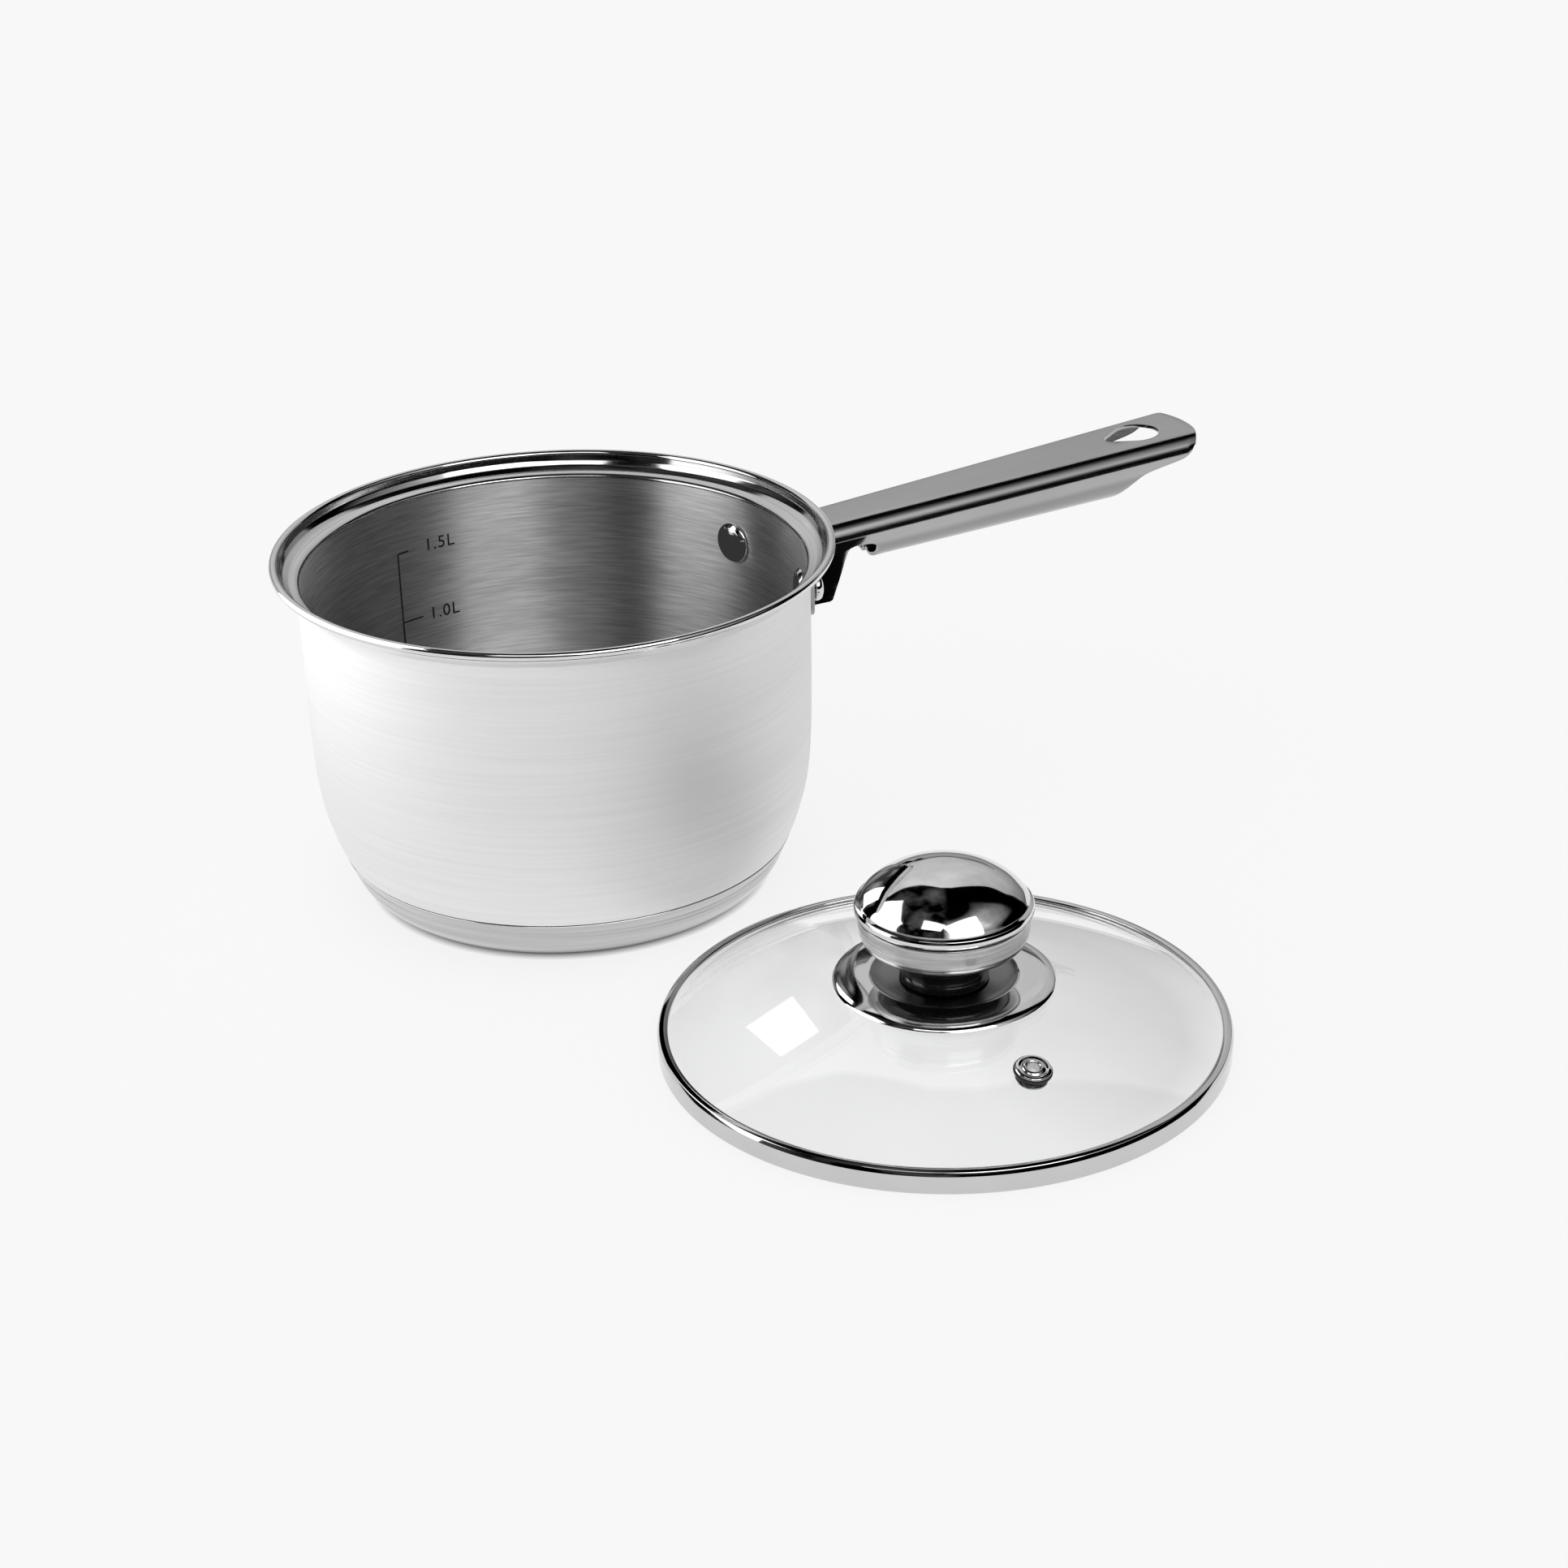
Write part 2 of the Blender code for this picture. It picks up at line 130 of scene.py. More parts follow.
def stretched_noise(tree, along, across):
    """Noise drawn out round the object's own Z axis: along and across are waves per metre."""
    place = node(tree, "ShaderNodeTexCoord")
    split = node(tree, "ShaderNodeSeparateXYZ")
    tree.links.new(place.outputs["Object"], split.inputs[0])
    flat = node(tree, "ShaderNodeCombineXYZ")
    tree.links.new(split.outputs["X"], flat.inputs["X"])
    tree.links.new(split.outputs["Y"], flat.inputs["Y"])
    length = node(tree, "ShaderNodeVectorMath", operation="LENGTH")
    tree.links.new(flat.outputs[0], length.inputs[0])
    depth = node(tree, "ShaderNodeMath", operation="SUBTRACT")
    tree.links.new(split.outputs["Z"], depth.inputs[0])
    tree.links.new(length.outputs["Value"], depth.inputs[1])
    joined = node(tree, "ShaderNodeCombineXYZ")
    tree.links.new(split.outputs["X"], joined.inputs["X"])
    tree.links.new(split.outputs["Y"], joined.inputs["Y"])
    tree.links.new(depth.outputs[0], joined.inputs["Z"])
    scale = node(tree, "ShaderNodeVectorMath", operation="MULTIPLY")
    scale.inputs[1].default_value = (along, along, across)
    tree.links.new(joined.outputs[0], scale.inputs[0])
    noise = node(tree, "ShaderNodeTexNoise")
    noise.inputs["Scale"].default_value = 1.0
    noise.inputs["Detail"].default_value = 3.0
    tree.links.new(scale.outputs[0], noise.inputs["Vector"])
    return noise.outputs["Fac"]


def straight_noise(tree, scales, detail=3.0):
    """Noise in the object's own coordinates, with waves per metre along each axis."""
    place = node(tree, "ShaderNodeTexCoord")
    scale = node(tree, "ShaderNodeVectorMath", operation="MULTIPLY")
    scale.inputs[1].default_value = scales
    tree.links.new(place.outputs["Object"], scale.inputs[0])
    noise = node(tree, "ShaderNodeTexNoise")
    noise.inputs["Scale"].default_value = 1.0
    noise.inputs["Detail"].default_value = detail
    tree.links.new(scale.outputs[0], noise.inputs["Vector"])
    return noise.outputs["Fac"]


def spread(tree, source, low, high, start=0.3, end=0.7):
    """The source's values from start to end, spread over low to high."""
    made = node(tree, "ShaderNodeMapRange")
    made.inputs["From Min"].default_value = start
    made.inputs["From Max"].default_value = end
    made.inputs["To Min"].default_value = low
    made.inputs["To Max"].default_value = high
    tree.links.new(source, made.inputs["Value"])
    return made.outputs["Result"]


def tinted(tree, source, dark, light):
    """A colour between dark and light that follows the source."""
    made = node(tree, "ShaderNodeValToRGB")
    stops = made.color_ramp.elements
    for stop, position, colour in zip(stops, (0.3, 0.7), (dark, light)):
        stop.position = position
        stop.color = (*colour, 1.0)
    tree.links.new(source, made.inputs["Fac"])
    return made.outputs["Color"]


def maths(tree, operation, a, b=0.0, c=0.0):
    made = node(tree, "ShaderNodeMath", operation=operation)
    for socket, value in zip(made.inputs, (a, b, c)):
        if isinstance(value, (int, float)):
            socket.default_value = value
        else:
            tree.links.new(value, socket)
    return made.outputs[0]


def ramp(tree, value, start, end):
    """0 at start and 1 at end, which may be the lower of the two."""
    return spread(tree, value, 0.0, 1.0, start, end)


def mixed(tree, factor, first, second):
    """The first value where factor is 0, and the second where it is 1."""
    made = node(tree, "ShaderNodeMix", data_type="FLOAT")
    sockets = (made.inputs[0], made.inputs[2], made.inputs[3])
    for socket, value in zip(sockets, (factor, first, second)):
        tree.links.new(value, socket)
    return made.outputs[0]


def bumped(tree, shader, source, distance):
    """Raises the surface by up to distance, in metres, where the source is bright."""
    bump = node(tree, "ShaderNodeBump")
    bump.inputs["Strength"].default_value = 1.0
    bump.inputs["Distance"].default_value = distance
    tree.links.new(source, bump.inputs["Height"])
    tree.links.new(bump.outputs["Normal"], shader.inputs["Normal"])


def new_material(name, metallic=0.0, roughness=0.5, colour=(0.8, 0.8, 0.8)):
    made = bpy.data.materials.new(name)
    made.use_nodes = True
    tree = made.node_tree
    shader = tree.nodes["Principled BSDF"]
    shader.inputs["Metallic"].default_value = metallic
    shader.inputs["Roughness"].default_value = roughness
    shader.inputs["Base Color"].default_value = (*colour, 1.0)
    return made, tree, shader


def brushed_round(name, dark, light, rough, along, across, bump, stretch=0.0):
    """Steel brushed round its own axis. rough is a range; stretch draws reflections out."""
    made, tree, shader = new_material(name, metallic=1.0)
    fine = stretched_noise(tree, along, across)
    tree.links.new(tinted(tree, fine, dark, light), shader.inputs["Base Color"])
    broad = stretched_noise(tree, along * 0.4, across * 0.08)
    tree.links.new(spread(tree, broad, *rough), shader.inputs["Roughness"])
    bumped(tree, shader, fine, bump)
    if stretch:
        tangent = node(tree, "ShaderNodeTangent", direction_type="RADIAL", axis="Z")
        tree.links.new(tangent.outputs[0], shader.inputs["Tangent"])
        shader.inputs["Anisotropic"].default_value = stretch
        shader.inputs["Anisotropic Rotation"].default_value = 0.25
    return made


def polished(name, colour=(0.72, 0.72, 0.725), rough=(0.035, 0.075)):
    """Buffed steel: clear reflections with a faint haze and small ripples."""
    made, tree, shader = new_material(name, metallic=1.0, colour=colour)
    haze = straight_noise(tree, (55.0, 55.0, 55.0), 4.0)
    tree.links.new(spread(tree, haze, *rough), shader.inputs["Roughness"])
    low = tuple(0.94 * c for c in colour)
    tree.links.new(tinted(tree, haze, low, colour), shader.inputs["Base Color"])
    ripple = straight_noise(tree, (30.0, 30.0, 30.0), 1.0)
    bumped(tree, shader, ripple, 0.00006)
    return made


def satin_handle():
    """Steel brushed along the handle, with a soft cloudy variation. Its sides are painted darker
    lower down: painted shade.
    """
    made, tree, shader = new_material("handle_steel", metallic=1.0)
    fine = straight_noise(tree, (40.0, 2200.0, 2200.0))
    cloud = straight_noise(tree, (18.0, 40.0, 40.0), 2.0)
    place = node(tree, "ShaderNodeTexCoord")
    split = node(tree, "ShaderNodeSeparateXYZ")
    tree.links.new(place.outputs["Object"], split.inputs[0])
    level = maths(tree, "MULTIPLY_ADD", split.outputs["X"], -HANDLE_RISE, split.outputs["Z"])
    # painted shade: the colour darkens lower down the handle's sides
    painted_shade = spread(tree, level, 0.72, 1.0, 0.0875, 0.0895)
    grey = maths(tree, "MULTIPLY", spread(tree, cloud, 0.39, 0.45), painted_shade)
    tree.links.new(grey, shader.inputs["Base Color"])
    tree.links.new(spread(tree, fine, 0.10, 0.17), shader.inputs["Roughness"])
    bumped(tree, shader, fine, 0.000003)
    return made


def plain_metal(name, dark, light, rough):
    made, tree, shader = new_material(name, metallic=1.0)
    noise = straight_noise(tree, (900.0, 900.0, 900.0), 4.0)
    tree.links.new(tinted(tree, noise, dark, light), shader.inputs["Base Color"])
    tree.links.new(spread(tree, noise, *rough), shader.inputs["Roughness"])
    bumped(tree, shader, noise, 0.00001)
    return made


def moulded(name, dark, light, rough, grain, depth):
    made, tree, shader = new_material(name)
    noise = straight_noise(tree, (grain, grain, grain), 4.0)
    tree.links.new(tinted(tree, noise, dark, light), shader.inputs["Base Color"])
    tree.links.new(spread(tree, noise, *rough), shader.inputs["Roughness"])
    bumped(tree, shader, noise, depth)
    return made


def clear_glass():
    """Toughened glass, with the faint waviness that heat leaves in it."""
    made, tree, shader = new_material("lid_glass", roughness=0.0)
    shader.inputs["Base Color"].default_value = (0.972, 0.978, 0.976, 1.0)
    shader.inputs["Transmission Weight"].default_value = 1.0
    shader.inputs["IOR"].default_value = 1.52
    wave = straight_noise(tree, (24.0, 24.0, 24.0), 1.0)
    bumped(tree, shader, wave, 0.00005)
    return made


def printed_black():
    made, tree, shader = new_material("etched_mark", metallic=0.0)
    noise = straight_noise(tree, (1500.0, 1500.0, 1500.0), 2.0)
    tree.links.new(tinted(tree, noise, (0.006,) * 3, (0.02,) * 3), shader.inputs["Base Color"])
    tree.links.new(spread(tree, noise, 0.5, 0.7), shader.inputs["Roughness"])
    return made


INSIDE = brushed_round(
    "inside_brushed", (0.68,) * 3, (0.97,) * 3, (0.40, 0.50), 75.0, 1500.0, 0.00001, 0.97
)
FLOOR_STEEL = brushed_round(
    "floor_turned", (0.50,) * 3, (0.68,) * 3, (0.22, 0.30), 30.0, 1600.0, 0.00001, 0.8
)
OUTSIDE = brushed_round(
    "outside_satin", (0.86,) * 3, (0.90,) * 3, (0.60, 0.66), 14.0, 900.0, 0.000001
)
LEDGE = brushed_round(
    "ledge_turned", (0.52,) * 3, (0.72,) * 3, (0.08, 0.14), 12.0, 1700.0, 0.000008, 0.5
)
CAP_STEEL = brushed_round(
    "cap_turned", (0.48,) * 3, (0.62,) * 3, (0.14, 0.22), 10.0, 1500.0, 0.000008, 0.6
)
CUP_STEEL = brushed_round(
    "cup_brushed", (0.42,) * 3, (0.60,) * 3, (0.18, 0.26), 60.0, 1800.0, 0.000008, 0.7
)
MIRROR = polished("mirror_steel")
# The knob's dish: polished steel painted dark grey, painted shade under the knob's cup
DISH_STEEL_PAINTED_SHADE = polished("dish_steel_painted_shade", (0.22, 0.22, 0.225), (0.20, 0.30))
BAND_STEEL = polished("band_steel", (0.62, 0.62, 0.625))
HANDLE_STEEL = satin_handle()
# The handle's inner face: steel painted nearly black, painted shade inside the folded sheet
HANDLE_INSIDE_PAINTED_SHADE = plain_metal("handle_inside_painted_shade", (0.10,) * 3, (0.17,) * 3, (0.35, 0.5))
ALUMINIUM = plain_metal("aluminium_core", (0.62, 0.62, 0.63), (0.78, 0.78, 0.79), (0.35, 0.5))
BRASS = plain_metal("brass", (0.52, 0.37, 0.15), (0.66, 0.48, 0.22), (0.28, 0.42))
SCREW_STEEL = plain_metal("screw_steel", (0.52,) * 3, (0.66,) * 3, (0.2, 0.32))
RUBBER = moulded("black_silicone", (0.012,) * 3, (0.028,) * 3, (0.5, 0.68), 900.0, 0.00002)
BLACK = moulded("black_phenolic", (0.008,) * 3, (0.016,) * 3, (0.12, 0.2), 500.0, 0.000008)
GLASS_LOOK = clear_glass()
MARK = printed_black()


# ---------------------------------------------------------------- shapes

def arc(cx, cz, radius, start, end, count):
    """Points of an arc, angles in degrees anticlockwise from +X."""
    return [
        (cx + radius * math.cos(a), cz + radius * math.sin(a))
        for a in np.radians(np.linspace(start, end, count))
    ]


def smooth_path(points, per=6):
    """A Catmull-Rom curve through the points."""
    points = [points[0], *points, points[-1]]
    out = []
    for a, b, c, d in zip(points, points[1:], points[2:], points[3:]):
        for t in np.arange(per) / per:
            out.append(
                tuple(
                    0.5
                    * (
                        2 * b[k]
                        + (c[k] - a[k]) * t
                        + (2 * a[k] - 5 * b[k] + 4 * c[k] - d[k]) * t * t
                        + (3 * b[k] - a[k] - 3 * c[k] + d[k]) * t**3
                    )
                    for k in (0, 1)
                )
            )
    out.append(tuple(points[-1]))
    return out


def soften(points, radius, ring=False, least=12.0):
    """Rounds each corner of an outline that turns by more than least degrees."""
    points = [p for p, q in zip(points, points[1:] + [None]) if p != q]
    out = []
    total = len(points)
    for i in range(total):
        here = Vector(points[i])
        if not ring and i in (0, total - 1):
            out.append(tuple(here))
            continue
        back = Vector(points[i - 1]) - here
        on = Vector(points[(i + 1) % total]) - here
        turn = math.pi - back.angle(on)
        if math.degrees(turn) < least:
            out.append(tuple(here))
            continue
        reach = min(radius * math.tan(turn / 2), 0.45 * back.length, 0.45 * on.length)
        a = here + back.normalized() * reach
        b = here + on.normalized() * reach
        for t in np.linspace(0.0, 1.0, 5):
            point = a * (1 - t) ** 2 + here * 2 * t * (1 - t) + b * t * t
            out.append(tuple(point))
    return out


def finish_mesh(mesh, materials, angle=38.0):
    for mat in materials:
        mesh.materials.append(mat)
    mesh.shade_smooth()
    mesh.set_sharp_from_angle(angle=math.radians(angle))


def turned(name, zones, at=(0.0, 0.0, 0.0), steps=192, ring=False):
    """zones are (material, profile in mm), joined end to end and turned about Z."""
    points = []
    owner = []
    materials = []
    for mat, profile in zones:
        if mat not in materials:
            materials.append(mat)
        for point in profile:
            if points and math.dist(point, points[-1]) < 1e-4:
                continue
            points.append(point)
            owner.append(materials.index(mat))
    rows = []
    verts = []
    angles = np.arange(steps) * math.tau / steps
    for r, z in points:
        if r < 1e-6:
            rows.append([len(verts)] * steps)
            verts.append((0.0, 0.0, z * MM))
            continue
        rows.append(list(range(len(verts), len(verts) + steps)))
        verts += [(r * MM * math.cos(a), r * MM * math.sin(a), z * MM) for a in angles]
    faces = []
    index = []
    pairs = list(zip(range(len(rows)), range(1, len(rows))))
    if ring:
        pairs.append((len(rows) - 1, 0))
    for i, j in pairs:
        for k in range(steps):
            m = (k + 1) % steps
            corners = (rows[i][k], rows[j][k], rows[j][m], rows[i][m])
            face = list(dict.fromkeys(corners))
            faces.append(face)
            index.append(owner[j])
    mesh = bpy.data.meshes.new(name)
    mesh.from_pydata(verts, [], faces)
    mesh.polygons.foreach_set("material_index", index)
    finish_mesh(mesh, materials)
    obj = bpy.data.objects.new(name, mesh)
    obj.location = at
    bpy.context.scene.collection.objects.link(obj)
    return obj


def one(mat, profile):
    return [(mat, profile)]


def settle(obj, body, slot, *nodes):
    """The piece rides on the body and stands for the nodes. slot is not used."""
    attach(obj, body)
    if nodes:
        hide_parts(*nodes)
    return obj


def applied(obj):
    """The object's evaluated mesh as its own, with no modifiers left."""
    bpy.context.view_layer.update()
    graph = bpy.context.evaluated_depsgraph_get()
    mesh = bpy.data.meshes.new_from_object(obj.evaluated_get(graph))
    obj.modifiers.clear()
    obj.data = mesh
    return obj


def prism(name, outline, low, high):
    """A closed outline of (x, y) in mm, made solid from low to high along Z."""
    turns = zip(outline, outline[1:] + outline[:1])
    if sum(a[0] * b[1] - b[0] * a[1] for a, b in turns) < 0:
        outline = outline[::-1]
    count = len(outline)
    points = [(x * MM, y * MM, low * MM) for x, y in outline]
    points += [(x * MM, y * MM, high * MM) for x, y in outline]
    faces = [tuple(reversed(range(count))), tuple(range(count, 2 * count))]
    for i in range(count):
        j = (i + 1) % count
        faces.append((i, j, count + j, count + i))
    mesh = bpy.data.meshes.new(name)
    mesh.from_pydata(points, [], faces)
    obj = bpy.data.objects.new(name, mesh)
    bpy.context.scene.collection.objects.link(obj)
    return obj


def boolean(obj, other, operation="DIFFERENCE"):
    made = obj.modifiers.new("cut", "BOOLEAN")
    made.operation = operation
    made.solver = "EXACT"
    made.object = other


def discard(objects):
    for obj in objects:
        bpy.data.objects.remove(obj)


# ---------------------------------------------------------------- the pan

def pan_body():
    floor = [(0.0, 8.3), (30.0, 8.3), (52.0, 8.3), (58.0, 8.35)]
    inside = smooth_path(
        [
            (58.0, 8.35),
            (65.4, 10.2),
            (71.2, 15.6),
            (75.2, 23.0),
            (77.9, 33.0),
            (79.3, 48.0),
            (79.8, 72.0),
            (INNER_R, CORNER_Z),
        ]
    )
    ledge = soften(
        [
            (INNER_R, CORNER_Z - 0.5),
            (80.15, 106.3),
            (81.0, 106.8),
            (83.2, 107.4),
            (84.9, 108.4),
            (85.9, 109.9),
            (86.28, BEAD_Z),
        ],
        1.6,
        least=4.0,
    )
    bead = arc(BEAD_R, BEAD_Z, BEAD_TUBE, 180, -115, 33)
    under = [(87.0, 110.25), (86.3, 108.9), (84.6, 107.0), (81.9, 105.7), (80.9, 104.6)]
    outside = smooth_path(
        [
            (80.9, 104.6),
            (80.7, 72.0),
            (80.2, 49.0),
            (78.9, 34.0),
            (76.5, 24.0),
            (74.9, 19.2),
            (73.45, CAP_TOP_Z + 0.45),
        ]
    )
    bottom = [(71.9, CAP_TOP_Z + 0.45), (69.6, 12.1), (65.4, 9.2), (58.0, 7.45), (0.0, 7.45)]
    zones = [
        (FLOOR_STEEL, floor),
        (INSIDE, inside),
        (LEDGE, ledge),
        (MIRROR, bead),
        (OUTSIDE, smooth_path(under)),
        (OUTSIDE, outside),
        (OUTSIDE, bottom),
    ]
    return settle(turned("pan_shell", zones, steps=256), "pan", "satin_steel", "pan_body")


GROOVE_WIDTH = 0.34
GROOVE_DEPTH = 0.09


def groove(r, z, slope):
    """Three points of a shallow turned line on a wall that leans by slope, a (dr, dz)."""
    along = Vector(slope).normalized()
    into = Vector((along.y, -along.x))
    here = Vector((r, z))
    return [
        tuple(here - along * GROOVE_WIDTH / 2),
        tuple(here + into * GROOVE_DEPTH),
        tuple(here + along * GROOVE_WIDTH / 2),
    ]


def base_cap():
    slope = (-1.5, -3.6)
    wall = [(73.3, CAP_TOP_Z - 0.1)]
    for part in (0.50, 0.74, 0.98):
        wall += groove(73.3 + slope[0] * part * 2.0, CAP_TOP_Z + slope[1] * part * 2.0, slope)
    outside = wall + smooth_path([(70.0, 7.4), (68.9, 5.7), (66.9, 3.3), (64.0, 1.2), (61.0, 0.0)])
    foot = [(61.0, 0.0), (59.0, 0.0), (58.7, 0.15), (0.0, 0.15)]
    lip = [(0.0, 0.8), (60.6, 0.8), (65.2, 3.0), (69.4, 8.0), (71.0, 11.8), (72.5, CAP_TOP_Z)]
    zones = [
        (CAP_STEEL, lip),
        (CAP_STEEL, [(73.2, CAP_TOP_Z)]),
        (CAP_STEEL, outside),
        (CAP_STEEL, foot),
    ]
    return settle(turned("base_cap_steel", zones, steps=256), "pan", "satin_steel", "base_cap")


def rivets():
    profile = soften(
        [
            (0.0, 5.75),
            (2.4, 5.65),
            (3.7, 5.1),
            (4.3, 4.2),
            (4.3, 2.75),
            (2.5, 2.75),
            (2.5, -1.0),
            (6.8, -1.0),
            (6.65, -1.7),
            (5.5, -2.7),
            (3.6, -3.3),
            (0.0, -3.55),
        ],
        0.9,
        least=6.0,
    )
    for side in ("left", "right"):
        name = f"handle_rivet_{side}"
        at = middle(name)
        angle = math.atan2(at.y, at.x)
        rivet = turned(f"{name}_steel", one(MIRROR, profile), steps=64)
        rivet.location = (
            WALL_R * MM * math.cos(angle),
            WALL_R * MM * math.sin(angle),
            at.z,
        )
        rivet.rotation_euler = (0.0, math.pi / 2, angle)
        settle(rivet, "pan", "polished_steel", name)


def handle_top(s):
    return HANDLE_TOP_Z + HANDLE_RISE * (s - HANDLE_ROOT)


def handle_half(s):
    """Half of the handle's cross-section at s, from the top's centre down: (t, drop). It is
    a straight side plate near the pan and blends into a curled edge further out."""
    part = (s - HANDLE_ROOT) / HANDLE_RUN
    half = 0.5 * (HANDLE_W_PAN + (HANDLE_W_END - HANDLE_W_PAN) * part)
    depth = HANDLE_DEPTH_PAN + (HANDLE_DEPTH_END - HANDLE_DEPTH_PAN) * part
    corner = HANDLE_CORNER
    points = [(0.0, 0.0), (0.35 * (half - corner), 0.0), (0.75 * (half - corner), 0.0)]
    for a in np.radians(np.linspace(0.0, 90.0, 19)):
        points.append((half - corner + corner * math.sin(a), corner * (math.cos(a) - 1)))
    curl = []
    last = math.acos((HANDLE_ROLL + 0.5) / half)
    for a in np.linspace(0.0, last, 28)[1:]:
        curl.append((half * math.cos(a), -corner - (depth - corner) * math.sin(a)))
    low = curl[-1][1] + HANDLE_ROLL
    for a in np.radians((-105.0, -120.0, -135.0, -150.0, -165.0, 180.0, 163.0, 145.0)):
        curl.append(
            (HANDLE_ROLL + 0.5 + HANDLE_ROLL * math.cos(a), low + HANDLE_ROLL * math.sin(a))
        )
    plate_drop = handle_top(s) - PLATE_BOTTOM_Z
    blend = min(1.0, max(0.0, (s - 101.0) / 6.0))
    for i, (curl_t, curl_drop) in enumerate(curl):
        down = (i + 1) / len(curl)
        flat_drop = -corner - (plate_drop - corner) * down
        t = half + (curl_t - half) * blend
        drop = flat_drop + (curl_drop - flat_drop) * blend
        points.append((t, drop))
    return points


def handle_sheet():
    stations = list(np.linspace(HANDLE_START, 100.0, 5)) + list(np.arange(101.0, 108.0, 1.0))
    stations += list(np.linspace(110.0, HANDLE_END + 2.0, 27))
    rows = []
    points = []
    for s in stations:
        half = handle_half(s)
        section = [(-t, d) for t, d in reversed(half[1:])] + half
        row = []
        for t, drop in section:
            row.append(len(points))
            points.append((s * MM, t * MM, (handle_top(s) + drop) * MM))
        rows.append(row)
    faces = []
    for first, second in zip(rows, rows[1:]):
        for i in range(len(first) - 1):
            faces.append((first[i], second[i], second[i + 1], first[i + 1]))
    mesh = bpy.data.meshes.new("handle_steel_sheet")
    mesh.from_pydata(points, [], faces)
    mesh.materials.append(HANDLE_STEEL)
    # the inner face takes the painted shade
    mesh.materials.append(HANDLE_INSIDE_PAINTED_SHADE)
    obj = bpy.data.objects.new("handle_steel_sheet", mesh)
    bpy.context.scene.collection.objects.link(obj)
    shell = obj.modifiers.new("sheet", "SOLIDIFY")
    shell.thickness = HANDLE_SHEET * MM
    shell.offset = -1.0
    shell.use_even_offset = True
    shell.material_offset = 1
    return obj


def ear(side):
    """The flap along the pan's wall that a rivet holds, rooted in the side plate."""
    name = f"ear_{side}"
    root = 0.5 * HANDLE_W_PAN
    start = math.degrees(math.asin((root + 2.0) / EAR_R))
    end = math.degrees(math.asin(EAR_T / EAR_R))
    outline = arc(0.0, 0.0, EAR_R, end, start, 16)
    outline += [(80.9, root - 0.95), (88.0, root - 0.72), (88.0, root + 0.05)]
    outline += [(84.2, root - 0.05), (83.0, root + 0.5)]
    outline += arc(0.0, 0.0, EAR_R + EAR_SHEET, start + 0.4, end, 16)
    flap = prism(name, [(x, side * t) for x, t in outline], EAR_LOW_Z, EAR_HIGH_Z)
    shape = [(root + 4.0, 70.0), (root + 4.0, EAR_LOW_Z)]
    shape += arc(EAR_T - EAR_CORNER, EAR_LOW_Z + EAR_CORNER, EAR_CORNER, -90.0, 0.0, 12)
    shape += arc(EAR_T - EAR_CORNER, EAR_HIGH_Z - EAR_CORNER, EAR_CORNER, 0.0, 90.0, 12)
    shape += [(root + 4.0, EAR_HIGH_Z), (root + 4.0, 110.0), (60.0, 110.0), (60.0, 70.0)]
    trim = prism(name + "_trim", [(side * t, z) for t, z in shape], 60.0, 95.0)
    trim.rotation_euler = (math.pi / 2, 0.0, math.pi / 2)
    boolean(flap, trim)
    return flap, trim


def side_cutter(name, outline):
    """A closed outline of (s, z) in mm, cut through the handle from side to side."""
    obj = prism(name, outline, -40.0, 40.0)
    obj.rotation_euler = (math.pi / 2, 0.0, 0.0)
    return obj


def notch_outline():
    top = handle_top(100.0)
    path = smooth_path(
        [
            (93.6, PLATE_BOTTOM_Z + 0.5),
            (96.6, top - 17.0),
            (99.3, top - 9.6),
            (101.4, top - 8.0),
            (105.0, top - 7.9),
            (109.0, top - 8.3),
            (111.2, top - 10.2),
            (112.6, top - 14.0),
            (113.6, top - 19.0),
        ]
    )
    return path + [(114.0, 70.0), (91.6, 70.0), (91.6, PLATE_BOTTOM_Z - 0.6)]


def sweep_outline():
    end = handle_top(220.0)
    path = smooth_path(
        [
            (201.5, end - 22.6),
            (204.2, end - 19.6),
            (207.0, end - 16.0),
            (210.0, end - 12.4),
            (214.0, end - 9.6),
            (220.0, end - 8.1),
            (227.0, end - 6.9),
            (230.2, end - 6.0),
            (232.4, end - 4.6),
            (234.2, end - 2.6),
            (236.4, end - 1.5),
            (243.0, end - 0.9),
        ]
    )
    return path + [(246.0, end - 0.9), (246.0, 70.0), (201.5, 70.0)]


def tip_outline():
    half = [(228.0, 18.2), (233.4, 16.4), (236.6, 12.6), (238.7, 7.2)]
    path = [(s, -t) for s, t in half] + [(HANDLE_END, 0.0)] + half[::-1]
    return smooth_path(path) + [(228.0, 24.0), (250.0, 24.0), (250.0, -24.0), (228.0, -24.0)]


def hole_outline():
    lean = math.degrees(math.asin((HOLE_R - HOLE_TIP_R) / (HOLE_S - HOLE_TIP_S)))
    hole = arc(HOLE_S, 0.0, HOLE_R, -90 - lean, 90 + lean, 41)
    return hole + arc(HOLE_TIP_S, 0.0, HOLE_TIP_R, 90 + lean, 270 - lean, 15)


